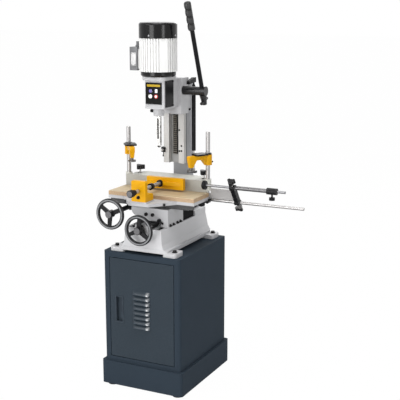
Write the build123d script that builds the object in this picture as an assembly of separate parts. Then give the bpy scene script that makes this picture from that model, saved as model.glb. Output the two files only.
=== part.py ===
"""Floor-standing mortiser in separate solids, mm, +Z up, front to -Y, origin on the floor."""
import os
from math import acos, cos, pi, radians, sin, tan

from build123d import *

# Fits
RUN = 0.08
GAP = 0.3

# Cabinet and door
CAB_W = 400.0
CAB_D = 490.0
CAB_R = 14.0
SHEET = 3.0
FOOT_H = 12.0
FOOT_R = 26.0
FOOT_IN = 40.0
SKIRT_OUT = 13.0
SKIRT_TOP = 126.0
SKIRT_LIP = 70.0
DOOR_W = 332.0
DOOR_LOW = 151.0
DOOR_H = 479.0
DOOR_HEAD = 30.0
DOOR_GAP = 3.0
DOOR_FLANGE = 10.0
DOOR_PIN_R = 3.0
HINGE_H = 12.0
HINGE_IN = 5.0
PIN_L = 14.0
LOUVRES = 8
LOUVRE_W = 84.0
LOUVRE_H = 16.0
LOUVRE_OUT = 7.0
LOUVRE_PITCH = 23.2
LOUVRE_Z = 244.0
PULL_W = 33.0
PULL_H = 119.0
PULL_DEEP = 15.0
PULL_IN = 48.5
PULL_Z = 235.0

# Base casting and cross ways
BASE_H = 118.0
BASE_FRONT = -231.0
BASE_REAR = 228.0
BASE_W = 260.0
BASE_RIM = 18.0
BASE_TOP_W = 184.0
HOLLOW_W = 156.0
HOLLOW_IN = 30.0
LUG_X = 172.5
LUG_L = 76.0
LUG_T = 20.0
ARCH = 12.0
WAY_W = 96.0
WAY_H = 20.0
WAY_CUT = 12.0
POCKET_X = 52.0
POCKET_W = 26.0
POCKET_L = 109.0
BEARING_W = 68.0
BLOCK_H = 24.0
BLOCK_FRONT = 112.0
BOLT_R = 10.0

# Column, rack and gas strut
COL_TOP = 1425.0
COL_FOOT = 1034.0
COL_W = 84.0
COL_BACK = 228.0
COL_R = 28.0
COL_WALL = 12.0
FLANGE_W = 26.0
FLANGE_T = 16.0
ROOT_FRONT = 160.0
ROOT_DROP = 12.0
WAYS_W = 108.0
WAYS_FRONT = 83.0
WAYS_REAR = 105.0
SLOT_W = 51.0
RACK_M = 3.0
RACK_W = 21.0
RACK_LOW = 41.0
PINION_N = 28
STRUT_X = 75.0
STRUT_Y = 146.0
STRUT_R = 9.5
STRUT_ROD_R = 4.0
STRUT_ROD_L = 285.0
STRUT_DROP = 448.0
STRUT_FOOT_L = 45.0
STRUT_FOOT_T = 10.0
STRUT_RISE = 98.0
STRUT_END = 48.0
STRUT_BALL_R = 8.0
HOOK_H = 23.0
STOP_H = 24.0
STOP_RISE = 50.0

# Way cover
FOLDS = 9
FOLD_W = 180.0
FOLD_H = 56.0
FOLD_DEEP = 7.0
FOLD_WALL = 3.0

# Saddle and hand wheels
SADDLE_W = 190.0
SADDLE_FRONT = -160.0
SADDLE_BACK = -8.0
SADDLE_H = 84.0
SADDLE_SIDE = 42.0
SADDLE_R = 32.0
SADDLE_STEP = 29.0
LOCK_X = 52.0
LOCK_R = 4.0
LOCK_ARM = 26.0
XWAY_W = 70.0
XWAY_H = 23.0
XWAY_CUT = 8.0
XWAY_Y = -85.0
WHEEL_R = 71.0
RIM_W = 17.0
RIM_T = 16.0
SPOKE_W = 21.0
SPOKE_T = 8.0
WHEEL_HUB_R = 17.5
WHEEL_HUB_L = 30.0
YWHEEL_Y = -262.0
YSCREW_R = 8.0
DIAL_R = 26.0
NUT_L = 50.0
NUT_W = 26.0
XWHEEL_X = -115.0
XWHEEL_Y = -315.0
XSHAFT_R = 6.0
XSLEEVE_R = 11.0
XRACK_M = 1.5
XPINION_N = 21

# Table, fence and hold-downs
TABLE_W = 444.0
TABLE_FRONT = -152.0
TABLE_BACK = 5.0
PLATE_T = 15.0
BOARD_T = 19.0
LEG_T = 18.0
LEG_IN = 36.0
XRACK_IN = 8.0
XRACK_W = 13.0
XRACK_DROP = 19.0
TONGUE_Y = -262.0
TONGUE_ROOT = 140.0
TONGUE_NECK = 105.0
TONGUE_TIP = 50.0
TONGUE_BEND = 43.0
PILLAR_W = 40.0
LOCK_KNOB_R = 16.0
LOCK_KNOB_Y = -38.0
FENCE_IN = 6.0
FENCE_T = 16.0
FENCE_H = 53.7
LEDGE_T = 12.0
LEDGE_BACK = 108.0
LEDGE_CUT = 40.0
LEDGE_END = 25.0
FENCE_TRAVEL = 20.0
KNOB_IN = 51.0
KNOB_Y = 58.0
KNOB_R = 20.0
KNOB_T = 20.0
STUD_R = 5.0
STUD_L = 44.0
POST_IN = 12.0
POST_Y = 20.0
POST_R = 10.0
POST_TOP = 1205.0
POST_SEAT = 9.0
ARM_REACH = 112.0
ARM_W = 24.0
ARM_BAR = 20.0
ARM_BOSS = 48.0
ARM_WALL = 9.0
ARM_DROP = 53.0
ARM_TIP = 16.0
ARM_TIP_IN = 8.0
ARM_ELBOW = 41.0
ARM_R = 8.0
ARM_LEFT = 1121.0
ARM_RIGHT = 1100.0
ARM_LEFT_TURN = -51.0
ARM_RIGHT_TURN = -118.0
CLAMP_W = 55.0
CLAMP_L = 67.0
CLAMP_T = 7.0
PAD_R = 18.0
PAD_T = 7.0
PAD_NECK = 10.0

# Vise and work stop
VISE_W = 72.0
VISE_FRONT = -260.0
VISE_H = 95.0
VISE_T = 20.0
VISE_FOOT_L = 72.0
VISE_FOOT_H = 31.0
VISE_SEAT = 6.0
SCREW_R = 9.0
SCREW_Z = 49.0
COLLAR_R = 15.0
COLLAR_L = 18.0
COLLAR_Y = -153.0
VISE_KNOB_R = 17.0
VISE_KNOB_L = 26.0
VISE_KNOB_OUT = 78.0
JAW_FRONT = -45.0
JAW_T = 20.0
JAW_LEFT = -77.0
JAW_RIGHT = 115.0
JAW_LOW = 27.0
JAW_HIGH = 26.0
JAW_BOSS_R = 16.0
JAW_BOSS_L = 17.0
LOW_R = 7.0
LOW_DROP = 15.0
LOW_Y = 12.0
LOW_IN = 92.0
LOW_OUT = 320.0
HIGH_R = 6.0
HIGH_Y = -44.0
HIGH_RISE = 45.0
HIGH_OUT = 252.0
LINK_OUT = 143.0
LINK_R = 14.0
LINK_L = 26.0
LINK_KNOB_R = 17.0
LINK_STUD_R = 4.0
SLEEVE_R = 9.5
SLEEVE_L = 153.0
RING_R = 15.0
RING_L = 47.0
DISC_R = 21.0
DISC_T = 16.0
BRACKET_T = 10.0
BRACKET_H = 40.0
ROD_LUG = 15.0
ROD_LEVER_R = 4.5
ROD_LEVER_L = 32.0
ROD_LEVER_TILT = 78.0
ROD_LUG_IN = 162.0

# Head, motor, chisel and lever
HEAD_W = 101.0
HEAD_FRONT = -102.0
HEAD_LOW = 1311.0
HEAD_H = 129.0
CHEEK_W = 136.0
CHEEK_DROP = 36.0
CHEEK_FRONT = 30.0
KEEPER_T = 15.0
PANEL_LEFT = -43.0
PANEL_RIGHT = 38.0
PANEL_T = 4.0
PANEL_IN = 21.0
BUTTON_R = 9.0
BUTTON_RISE = 57.0
BUTTON_LEFT = -17.0
BUTTON_RIGHT = 12.0
COVER_L = 74.0
COVER_IN = 8.0
TOOL_Y = -62.0
SHAFT_R = 12.0
MOTOR_R = 86.0
BELL_H = 23.0
BELL_IN = 6.0
MOTOR_H = 148.0
FINS = 40
FIN_T = 8.0
FIN_DEEP = 6.0
PANEL_FACE = 40.0
COWL_H = 69.0
COWL_WALL = 3.0
COWL_R = 10.0
COWL_SLOTS = 12
NECK_H = 16.0
NECK_W = 120.0
BOX_W = 43.0
BOX_D = 76.0
BOX_H = 105.0
GLAND_IN = 17.0
GLAND_R = 8.0
FAN_R = 60.0
FAN_BLADES = 6
ROTOR_IN = 40.0
CHUCK_L = 38.0
BUSH_R = 25.0
BUSH_H = 35.0
THUMB_R = 4.0
THUMB_HEAD_R = 7.5
SHANK_R = 9.5
SHANK_L = 30.0
CHISEL_W = 19.05
CHISEL_L = 170.0
BIT_R = 6.5
FLUTE_W = 8.0
FLUTE_L = 95.0
FLUTE_LOW = 17.0
FLUTE_STEP = 17.0
HUB_RISE = 74.0
HUB_R = 20.0
HUB_END = 184.0
HUB_CAP_R = 22.0
AXLE_R = 14.0
AXLE_LEFT = -46.0
PINION_W = 24.0
LEVER_X = 165.0
LEVER_L = 429.0
LEVER_R = 10.0
LEVER_TILT = 20.6
GRIP_L = 133.0
GRIP_SWELLS = 4
PLUNGER_L = 50.0

# Levels and places that follow from the sizes above
DOOR_TOP = DOOR_LOW + DOOR_H
DOOR_FACE = -CAB_D / 2
CAB_TOP = DOOR_TOP + DOOR_HEAD
HINGE_X = DOOR_W / 2 - HINGE_IN
HINGE_Y = DOOR_FACE + HINGE_IN
RAIL = CAB_TOP + BASE_H
WAY_TOP = RAIL + WAY_H
BLOCK_TOP = RAIL + BLOCK_H
BEARING_FRONT = BASE_FRONT - 5
WAY_END = BLOCK_FRONT - 42
SADDLE_LOW = RAIL + GAP
SADDLE_TOP = RAIL + SADDLE_H
XWAY_TOP = SADDLE_TOP + XWAY_H
PLATE_LOW = XWAY_TOP + 5
PLATE_TOP = PLATE_LOW + PLATE_T
BOARD_TOP = PLATE_TOP + BOARD_T
YSCREW_Z = RAIL + 1
LOCK_Z = WAY_TOP + 12
XPINION_R = XRACK_M * XPINION_N / 2
XPITCH = PLATE_LOW - XRACK_DROP
XSHAFT_Z = XPITCH - XPINION_R
XRACK_FRONT = TABLE_FRONT + XRACK_IN
XRACK_BACK = XRACK_FRONT + XRACK_W
FENCE_LOW = BOARD_TOP + GAP
FENCE_TOP = FENCE_LOW + FENCE_H
FENCE_END = TABLE_W / 2 - FENCE_IN
KNOB_X = TABLE_W / 2 - KNOB_IN
POST_X = TABLE_W / 2 - POST_IN
VISE_LOW = PLATE_TOP + VISE_SEAT
SCREW_AXIS = VISE_LOW + SCREW_Z
LOW_Z = PLATE_TOP - LOW_DROP
LUG_TOP = LOW_Z + ROD_LUG
HIGH_Z = BOARD_TOP + HIGH_RISE
LINK_X = TABLE_W / 2 + LINK_OUT
LOW_END = LINK_X + LOW_OUT
HIGH_END = LINK_X + HIGH_OUT
RING_X = LINK_X + LINK_L / 2 + SLEEVE_L
PITCH_Y = WAYS_FRONT + 13
RACK_BACK = PITCH_Y + 10
PINION_R = RACK_M * PINION_N / 2
HUB_Y = PITCH_Y - PINION_R
HEAD_TOP = HEAD_LOW + HEAD_H
HUB_Z = HEAD_LOW + HUB_RISE
CHEEK_LOW = HEAD_LOW - CHEEK_DROP
CHEEK_TOP = HEAD_TOP + 2
NECK_TOP = HEAD_TOP + NECK_H
MOTOR_LOW = NECK_TOP + BELL_H
MOTOR_TOP = MOTOR_LOW + MOTOR_H
COWL_TOP = MOTOR_TOP + COWL_H
CHISEL_TOP = HEAD_LOW - BUSH_H + SHANK_L
CHISEL_LOW = CHISEL_TOP - CHISEL_L
THUMB_Z = HEAD_LOW - 14


def block(x0, x1, y0, y1, z0, z1):
    """A box between two corners."""
    middle = Pos((x0 + x1) / 2, (y0 + y1) / 2, (z0 + z1) / 2)
    return middle * Box(x1 - x0, y1 - y0, z1 - z0)


def bar_x(x0, x1, y, z, r):
    """A round bar along X."""
    return Pos((x0 + x1) / 2, y, z) * Rot(0, 90, 0) * Cylinder(r, x1 - x0)


def bar_y(x, y0, y1, z, r):
    """A round bar along Y."""
    return Pos(x, (y0 + y1) / 2, z) * Rot(90, 0, 0) * Cylinder(r, y1 - y0)


def bar_z(x, y, z0, z1, r):
    """A round bar along Z."""
    return Pos(x, y, (z0 + z1) / 2) * Cylinder(r, z1 - z0)


def prism_x(points, x0, x1):
    """A polygon of (y, z) points drawn out along X."""
    return extrude(Plane.YZ.offset(x0) * Polygon(*points, align=None), x1 - x0, dir=(1, 0, 0))


def prism_y(points, y0, y1):
    """A polygon of (x, z) points drawn out along Y."""
    return extrude(Plane.XZ.offset(-y0) * Polygon(*points, align=None), y1 - y0, dir=(0, 1, 0))


def prism_z(points, z0, z1):
    """A polygon of (x, y) points drawn out along Z."""
    return extrude(Plane.XY.offset(z0) * Polygon(*points, align=None), z1 - z0, dir=(0, 0, 1))


def round_z(part, r):
    """The same block with its upright edges rounded."""
    return fillet(part.edges().filter_by(Axis.Z), r)


def along(points):
    """Points with their two coordinates swapped."""
    return [(b, a) for a, b in points]


def rack_outline(low, high, centre, module, pitch, back):
    """Straight-sided rack teeth, a space at centre, as (height, place) points."""
    step = pi * module
    tip = pitch - 0.95 * module
    root = pitch + 1.3 * module
    half = step / 4 - 0.1 * module
    slope = tan(radians(20))
    points = [(back, low), (root, low)]
    first = int((low - centre) / step) - 1
    for k in range(first, first + int((high - low) / step) + 4):
        mid = centre + (k + 0.5) * step
        wide = half + 1.3 * module * slope
        thin = half - 0.95 * module * slope
        if mid - wide > low and mid + wide < high:
            points += [(root, mid - wide), (tip, mid - thin), (tip, mid + thin), (root, mid + wide)]
    return points + [(root, high), (back, high)]


def gear_outline(count, module):
    """Involute teeth, the first one on the first axis, as (x, y) points."""
    pitch = count * module / 2
    base = pitch * cos(radians(20))
    half = pi / (2 * count) - 0.05 * module / pitch
    ends = tan(radians(20)) - radians(20)
    radii = [pitch - 1.25 * module, base + 0.02 * module, pitch - 0.3 * module, pitch + 0.4 * module]
    flank = []
    for r in radii + [pitch + 0.95 * module]:
        turn = acos(min(1.0, base / r))
        flank.append((r, half + ends - (tan(turn) - turn)))
    points = []
    for k in range(count):
        mid = 2 * pi * k / count
        points += [(r * cos(mid - a), r * sin(mid - a)) for r, a in flank]
        points += [(r * cos(mid + a), r * sin(mid + a)) for r, a in reversed(flank)]
    return points


def star(r, t):
    """A three-lobe knob standing on z = 0."""
    body = Pos(0, 0, t / 2) * Cylinder(0.72 * r, t)
    for k in range(3):
        body += Rot(0, 0, 120 * k + 30) * Pos(0.72 * r, 0, t / 2) * Cylinder(0.45 * r, t)
    return body


def cabinet_shell():
    """Sheet cabinet with its plinth, door opening and welded hinge pins."""
    w = CAB_W / 2
    d = CAB_D / 2
    shell = round_z(block(-w, w, -d, d, SKIRT_TOP, CAB_TOP), CAB_R)
    room = block(-w + SHEET, w - SHEET, -d + SHEET, d - SHEET, SKIRT_TOP + SHEET, CAB_TOP - SHEET)
    shell -= round_z(room, CAB_R - SHEET)
    side = DOOR_W / 2 + DOOR_GAP
    shell -= block(-side, side, -d - 1, -d + SHEET + 1, DOOR_LOW - DOOR_GAP, DOOR_TOP + DOOR_GAP)
    w += SKIRT_OUT
    d += SKIRT_OUT
    skirt = round_z(block(-w, w, -d, d, FOOT_H, SKIRT_TOP), CAB_R)
    skirt -= block(-w + SHEET, w - SHEET, -d + SHEET, d - SHEET, FOOT_H + SHEET, SKIRT_TOP - SHEET)
    lip = SKIRT_LIP
    skirt -= block(-w + lip, w - lip, -d + lip, d - lip, FOOT_H - 1, SKIRT_TOP)
    shell += skirt
    for low, pin in ((DOOR_TOP + DOOR_GAP, DOOR_TOP - PIN_L), (DOOR_LOW - DOOR_GAP - HINGE_H, DOOR_LOW)):
        shell += block(HINGE_X - 11, HINGE_X + 17, DOOR_FACE + 1, HINGE_Y + HINGE_H, low, low + HINGE_H)
        shell += bar_z(HINGE_X, HINGE_Y, min(pin, low), max(pin + PIN_L, low + HINGE_H), DOOR_PIN_R)
    return shell


def rubber_feet():
    """Four round feet under the plinth."""
    x = CAB_W / 2 + SKIRT_OUT - FOOT_IN
    y = CAB_D / 2 + SKIRT_OUT - FOOT_IN
    return [bar_z(sx * x, sy * y, 0, FOOT_H, FOOT_R) for sx in (-1, 1) for sy in (-1, 1)]


def pull_place():
    """Middle of the door pull in x and z."""
    return -DOOR_W / 2 + PULL_IN, DOOR_LOW + PULL_Z


def cabinet_door():
    """Flush door with folded edges, louvres and bearing blocks for the pins."""
    w = DOOR_W / 2
    f = DOOR_FACE
    door = block(-w, w, f, f + DOOR_FLANGE, DOOR_LOW, DOOR_TOP)
    door -= block(-w + SHEET, w - SHEET, f + SHEET, f + 50, DOOR_LOW + SHEET, DOOR_TOP - SHEET)
    h = LOUVRE_W / 2
    out = f - LOUVRE_OUT
    for k in range(LOUVRES):
        low = DOOR_LOW + LOUVRE_Z + (k - (LOUVRES - 1) / 2) * LOUVRE_PITCH - 7
        top = low + LOUVRE_H
        door -= block(-h + 3, h - 3, f - 1, f + SHEET + 1, low, top - 5)
        door += prism_x([(f + 1, top), (f, top), (out, low), (out + 2, low)], -h, h)
        for x in (-h, h - 2):
            door += prism_x([(f + 1, top), (out, low), (f + 1, low)], x, x + 2)
    x, z = pull_place()
    w0 = PULL_W / 2 + SHEET
    h0 = PULL_H / 2 + SHEET
    door -= block(x - w0, x + w0, f - 1, f + 5, z - h0, z + h0)
    ear = PIN_L + 1
    for low in (DOOR_LOW, DOOR_TOP - ear):
        door += block(HINGE_X - 8, w, f, f + DOOR_FLANGE, low, low + ear)
        door -= bar_z(HINGE_X, HINGE_Y, low - 1, low + ear + 1, DOOR_PIN_R + RUN)
    return door


def door_pull():
    """Cup let into the door, with a thin rim in front."""
    x, z = pull_place()
    w = PULL_W / 2
    h = PULL_H / 2
    back = DOOR_FACE + PULL_DEEP
    cup = block(x - w - SHEET, x + w + SHEET, DOOR_FACE, back + 2, z - h - SHEET, z + h + SHEET)
    cup += block(x - w - 5, x + w + 5, DOOR_FACE - 2, DOOR_FACE, z - h - 5, z + h + 5)
    return cup - block(x - w, x + w, DOOR_FACE - 3, back, z - h, z + h)


def base_outline(front, rear, inset):
    """Corner points of the base at one level, wider at the rear."""
    y0 = BASE_FRONT + inset
    y1 = BASE_REAR - 2
    return [(-front, y0), (front, y0), (rear, y1), (-rear, y1)]


def way_half(z, slack):
    """Half width of the cross way at a height."""
    return WAY_W / 2 - WAY_CUT + (z - RAIL) * WAY_CUT / WAY_H + slack


def base_casting():
    """Flared base with four lugs, split dovetail ways, front pockets and the column's pedestal."""
    rim = CAB_TOP + ARCH
    skirt = BASE_W / 2
    top = BASE_TOP_W / 2
    levels = [(rim + BASE_RIM, skirt - 22, skirt - 4, 2), (rim + 40, top + 6, top + 20, 5)]
    levels += [(RAIL, top, top + 5, 9)]
    faces = [Plane.XY.offset(z) * Polygon(*base_outline(a, b, c), align=None) for z, a, b, c in levels]
    base = loft(faces, ruled=True)
    base += round_z(block(-skirt, skirt, BASE_FRONT, BASE_REAR, rim, rim + BASE_RIM), 20)
    for sx in (-1, 1):
        for y0, y1 in ((BASE_FRONT, BASE_FRONT + LUG_L), (BASE_REAR - LUG_L + 3, BASE_REAR + 3)):
            x0, x1 = sorted((sx * (skirt - 30), sx * LUG_X))
            base += round_z(block(x0, x1, y0, y1, CAB_TOP, CAB_TOP + LUG_T), 14)
    base += block(-top - 6, top + 6, BLOCK_FRONT, BASE_REAR - 2, RAIL - 1, BLOCK_TOP)
    low = way_half(RAIL, 0)
    way = [(-low, RAIL), (-WAY_W / 2, WAY_TOP), (WAY_W / 2, WAY_TOP), (low, RAIL)]
    base += prism_y(way, BASE_FRONT + 14, WAY_END)
    bear = BEARING_W / 2
    base += block(-bear, bear, BEARING_FRONT, BASE_FRONT + 30, RAIL - 26, WAY_TOP)
    slot = NUT_W / 2 + 2
    base -= block(-slot, slot, BASE_FRONT + 26, WAY_END + 4, YSCREW_Z - 17, WAY_TOP + 1)
    room = HOLLOW_W / 2
    front = BASE_FRONT + HOLLOW_IN
    base -= block(-room, room, front, BASE_REAR - HOLLOW_IN, CAB_TOP - 1, RAIL - HOLLOW_IN)
    for x in (-POCKET_X - POCKET_W, POCKET_X):
        base -= block(x, x + POCKET_W, front - 8, front - 8 + POCKET_L, RAIL - HOLLOW_IN - 1, RAIL + 1)
    base -= bar_y(0, BEARING_FRONT - 5, WAY_END + 20, YSCREW_Z, YSCREW_R + RUN)
    for x, y in lug_bolts():
        base -= bar_z(x, y, CAB_TOP - 1, CAB_TOP + LUG_T + 1, 0.6 * BOLT_R)
    return base


def lug_bolts():
    """Places of the four bolts through the base lugs."""
    return [(sx * (LUG_X - 22), y) for sx in (-1, 1) for y in (BASE_FRONT + 30, BASE_REAR - 27)]


def foot_bolts():
    """Places of the four bolts in the column flange."""
    x = (COL_W + FLANGE_W) / 2
    return [(sx * x, y) for sx in (-1, 1) for y in (ROOT_FRONT + 8, COL_BACK - 14)]


def hex_bolt(x, y, z, shank):
    """A hexagon head on a washer over a shank."""
    head = Pos(x, y, z + 2) * extrude(RegularPolygon(BOLT_R, 6), 8)
    return head + bar_z(x, y, z, z + 2, 1.25 * BOLT_R) + bar_z(x, y, z - shank, z + 1, 0.6 * BOLT_R)


def frame_bolts():
    """Bolts that hold the base to the cabinet and the column to the base."""
    bolts = [hex_bolt(x, y, CAB_TOP + LUG_T, LUG_T) for x, y in lug_bolts()]
    return bolts + [hex_bolt(x, y, BLOCK_TOP + FLANGE_T, FLANGE_T) for x, y in foot_bolts()]


def column():
    """C-shaped column with flat ways, a rack channel and a bolted foot."""
    w = COL_W / 2
    side = [(COL_BACK, BLOCK_TOP), (COL_BACK, COL_TOP), (WAYS_REAR, COL_TOP), (WAYS_REAR, COL_FOOT)]
    side += [(ROOT_FRONT - ROOT_DROP, COL_FOOT), (ROOT_FRONT, COL_FOOT - ROOT_DROP), (ROOT_FRONT, BLOCK_TOP)]
    post = prism_x(side, -w, w)
    rear = post.edges().filter_by(Axis.Z).group_by(Axis.Y)[-1]
    post = fillet(rear, COL_R)
    post += block(-WAYS_W / 2, WAYS_W / 2, WAYS_FRONT, WAYS_REAR, COL_FOOT, COL_TOP)
    post -= block(-SLOT_W / 2, SLOT_W / 2, WAYS_FRONT - 1, RACK_BACK, COL_FOOT - 1, COL_TOP + 1)
    wide = w + FLANGE_W
    flange = block(-wide, wide, ROOT_FRONT - 12, COL_BACK - 2, BLOCK_TOP, BLOCK_TOP + FLANGE_T)
    post += round_z(flange, 10)
    inner = w - COL_WALL
    room = COL_WALL + 2
    post -= block(-inner, inner, ROOT_FRONT + room, COL_BACK - room, BLOCK_TOP - 1, COL_FOOT - 70)
    for x, y in foot_bolts():
        post -= bar_z(x, y, BLOCK_TOP - 1, BLOCK_TOP + FLANGE_T + 1, 0.6 * BOLT_R)
    return post


def head_rack():
    """Toothed rack in the column channel."""
    points = rack_outline(COL_FOOT + RACK_LOW, COL_TOP, HUB_Z, RACK_M, PITCH_Y, RACK_BACK)
    return prism_x(points, -RACK_W / 2, RACK_W / 2)


def strut_rod():
    """Gas strut rod standing on its foot bracket."""
    z = HEAD_TOP - STRUT_DROP
    low = z - STRUT_FOOT_T
    x = COL_W / 2
    foot = block(x, x + STRUT_FOOT_T, STRUT_Y - 9, ROOT_FRONT + STRUT_FOOT_L, low, z)
    foot += block(x, STRUT_X + 12, STRUT_Y - 9, STRUT_Y + 11, low, z)
    return foot + bar_z(STRUT_X, STRUT_Y, z - 1, z + STRUT_ROD_L, STRUT_ROD_R)


def bellows():
    """Pleated cover over the ways behind the saddle."""
    y0 = SADDLE_BACK + GAP
    step = (BLOCK_FRONT - y0) / (2 * FOLDS)
    outer = []
    inner = []
    for k in range(2 * FOLDS + 1):
        dip = FOLD_DEEP * (k % 2)
        plane = Plane.XZ.offset(-y0 - k * step)
        w = FOLD_W / 2 - dip
        top = RAIL + FOLD_H - dip
        outer.append(plane * Polygon((-w, RAIL + GAP), (w, RAIL + GAP), (w, top), (-w, top), align=None))
        w -= FOLD_WALL
        top -= FOLD_WALL
        inner.append(plane * Polygon((-w, RAIL - 5), (w, RAIL - 5), (w, top), (-w, top), align=None))
    return loft(outer, ruled=True) - loft(inner, ruled=True)


def depth_stop():
    """Stop block clamped on the left way, with its knob and set screw."""
    x = -WAYS_W / 2
    z = COL_FOOT + STOP_RISE
    stop = block(x - 10, x + 9, WAYS_FRONT - 8, WAYS_REAR + 9, z, z + STOP_H)
    stop -= block(x - GAP, x + 20, WAYS_FRONT - GAP, WAYS_REAR + GAP, z - 1, z + STOP_H + 1)
    mid = z + STOP_H / 2
    stop += bar_y(x + 3, WAYS_FRONT - 16, WAYS_FRONT - 7, mid, 3)
    stop += bar_y(x + 3, WAYS_FRONT - 27, WAYS_FRONT - 15, mid, 5.5)
    stop += bar_z(x - 6, WAYS_FRONT + 9, z - 18, z, 2.5)
    return stop + bar_z(x - 6, WAYS_FRONT + 9, z - 24, z - 16, 5)


def hand_wheel(turn):
    """Three-spoke wheel about the Y axis, its hub centred on the origin."""
    inner = WHEEL_R - RIM_W
    t = RIM_T / 2
    bevel = RIM_W / 4
    section = [(inner, bevel - t), (inner + bevel, -t), (WHEEL_R - bevel, -t), (WHEEL_R, bevel - t)]
    section += [(WHEEL_R, t - bevel), (WHEEL_R - bevel, t), (inner + bevel, t), (inner, t - bevel)]
    wheel = revolve(Plane.XZ * Polygon(*section, align=None), Axis.Z)
    wheel += Cylinder(WHEEL_HUB_R, WHEEL_HUB_L)
    root = SPOKE_W / 2
    tip = 0.8 * root
    spoke = [(WHEEL_HUB_R / 2, -root), (inner + bevel, -tip), (inner + bevel, tip), (WHEEL_HUB_R / 2, root)]
    for k in range(3):
        wheel += Rot(0, 0, 120 * k + turn) * prism_z(spoke, -SPOKE_T / 2, SPOKE_T / 2)
    return Rot(90, 0, 0) * wheel


def y_wheel():
    """Hand wheel of the cross feed."""
    bore = bar_y(0, YWHEEL_Y - WHEEL_HUB_L, YWHEEL_Y + WHEEL_HUB_L, YSCREW_Z, YSCREW_R)
    return Pos(0, YWHEEL_Y, YSCREW_Z) * hand_wheel(85) - bore


def y_screw():
    """Lead screw of the cross feed, with its dial collar."""
    back = YWHEEL_Y + WHEEL_HUB_L / 2
    screw = bar_y(0, YWHEEL_Y - WHEEL_HUB_L / 2 - 2, BLOCK_FRONT - 26, YSCREW_Z, YSCREW_R)
    return screw + bar_y(0, back, BEARING_FRONT - GAP, YSCREW_Z, DIAL_R)


def x_wheel():
    """Hand wheel of the table feed."""
    bore = bar_y(XWHEEL_X, XWHEEL_Y - WHEEL_HUB_L, XWHEEL_Y + WHEEL_HUB_L, XSHAFT_Z, XSHAFT_R + 1.5)
    return Pos(XWHEEL_X, XWHEEL_Y, XSHAFT_Z) * hand_wheel(25) - bore


def x_shaft():
    """Pinion shaft of the table feed, with its thick front stretch."""
    teeth = [(XWHEEL_X + b, XSHAFT_Z + a) for a, b in gear_outline(XPINION_N, XRACK_M)]
    shaft = prism_y(teeth, XRACK_FRONT + 1, XRACK_BACK - 1)
    back = XWHEEL_Y + WHEEL_HUB_L / 2
    shaft += bar_y(XWHEEL_X, XWHEEL_Y - WHEEL_HUB_L / 2 - 2, back + 1, XSHAFT_Z, XSHAFT_R + 1.5)
    shaft += bar_y(XWHEEL_X, back, XRACK_FRONT + 2, XSHAFT_Z, XSLEEVE_R)
    return shaft + bar_y(XWHEEL_X, XRACK_BACK - 2, XWAY_Y + NUT_L / 2 + 2, XSHAFT_Z, XSHAFT_R)


def saddle():
    """Saddle between the cross ways and the table ways, with its nut and shaft boss."""
    w = SADDLE_W / 2
    side = RAIL + SADDLE_SIDE
    top = block(-w, w, SADDLE_FRONT, SADDLE_BACK, side, SADDLE_TOP)
    corner = top.edges().filter_by(Axis.Y).sort_by(Axis.X)[:2].sort_by(Axis.Z)[0]
    body = fillet(corner, SADDLE_R)
    body += block(-w + SADDLE_STEP, w, SADDLE_FRONT, SADDLE_BACK, SADDLE_LOW, side + 2)
    low = way_half(RAIL - 1, GAP)
    high = way_half(WAY_TOP + GAP, GAP)
    groove = [(-low, RAIL - 1), (-high, WAY_TOP + GAP), (high, WAY_TOP + GAP), (low, RAIL - 1)]
    body -= prism_y(groove, SADDLE_FRONT - 1, SADDLE_BACK + 1)
    lip = WAY_W / 2 + 12
    body -= block(-lip, lip, SADDLE_FRONT - 1, SADDLE_FRONT + 12, RAIL - 1, WAY_TOP + 7)
    nut0 = XWAY_Y - NUT_L / 2
    nut1 = XWAY_Y + NUT_L / 2
    body += block(-NUT_W / 2, NUT_W / 2, nut0, nut1, YSCREW_Z - 12, WAY_TOP + 2)
    body -= bar_y(0, nut0 - 5, nut1 + 5, YSCREW_Z, YSCREW_R + GAP)
    half = XWAY_W / 2
    neck = half - XWAY_CUT
    way = [(-neck, SADDLE_TOP - 1), (neck, SADDLE_TOP - 1), (neck, SADDLE_TOP), (half, XWAY_TOP)]
    way += [(-half, XWAY_TOP), (-neck, SADDLE_TOP)]
    body += prism_x([(XWAY_Y + a, b) for a, b in way], -w, w)
    boss = XSHAFT_R + 7
    body += bar_y(XWHEEL_X, nut0, nut1, XSHAFT_Z, boss)
    body += block(XWHEEL_X, -w + 1, nut0, nut1, XSHAFT_Z - boss + 3, SADDLE_TOP - 0.5)
    body -= bar_y(XWHEEL_X, nut0 - 5, nut1 + 5, XSHAFT_Z, XSHAFT_R + RUN)
    return body - bar_y(LOCK_X, SADDLE_FRONT - 1, SADDLE_FRONT + 10, LOCK_Z, LOCK_R + RUN)


def saddle_lock():
    """Small clamp lever on the front of the saddle."""
    front = SADDLE_FRONT - 2.75 * LOCK_R
    lever = bar_y(LOCK_X, front + 2, SADDLE_FRONT + 9, LOCK_Z, LOCK_R)
    lever += bar_y(LOCK_X, front, SADDLE_FRONT - GAP, LOCK_Z, 2 * LOCK_R)
    arm = Pos(0, 0, LOCK_ARM / 2) * Cylinder(LOCK_R, LOCK_ARM)
    return lever + Pos(LOCK_X, SADDLE_FRONT - 1.5 * LOCK_R, LOCK_Z) * Rot(0, 125, 0) * arm


def leg(side):
    """Outline of a table leg that wraps one edge of the table way."""
    half = XWAY_W / 2 + GAP
    low = half - XWAY_CUT
    points = [(low, SADDLE_TOP + GAP), (low + LEG_T, SADDLE_TOP + GAP), (low + LEG_T, PLATE_LOW)]
    points += [(half, PLATE_LOW), (half, XWAY_TOP + GAP)]
    return [(XWAY_Y + side * a, b) for a, b in points]


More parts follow.
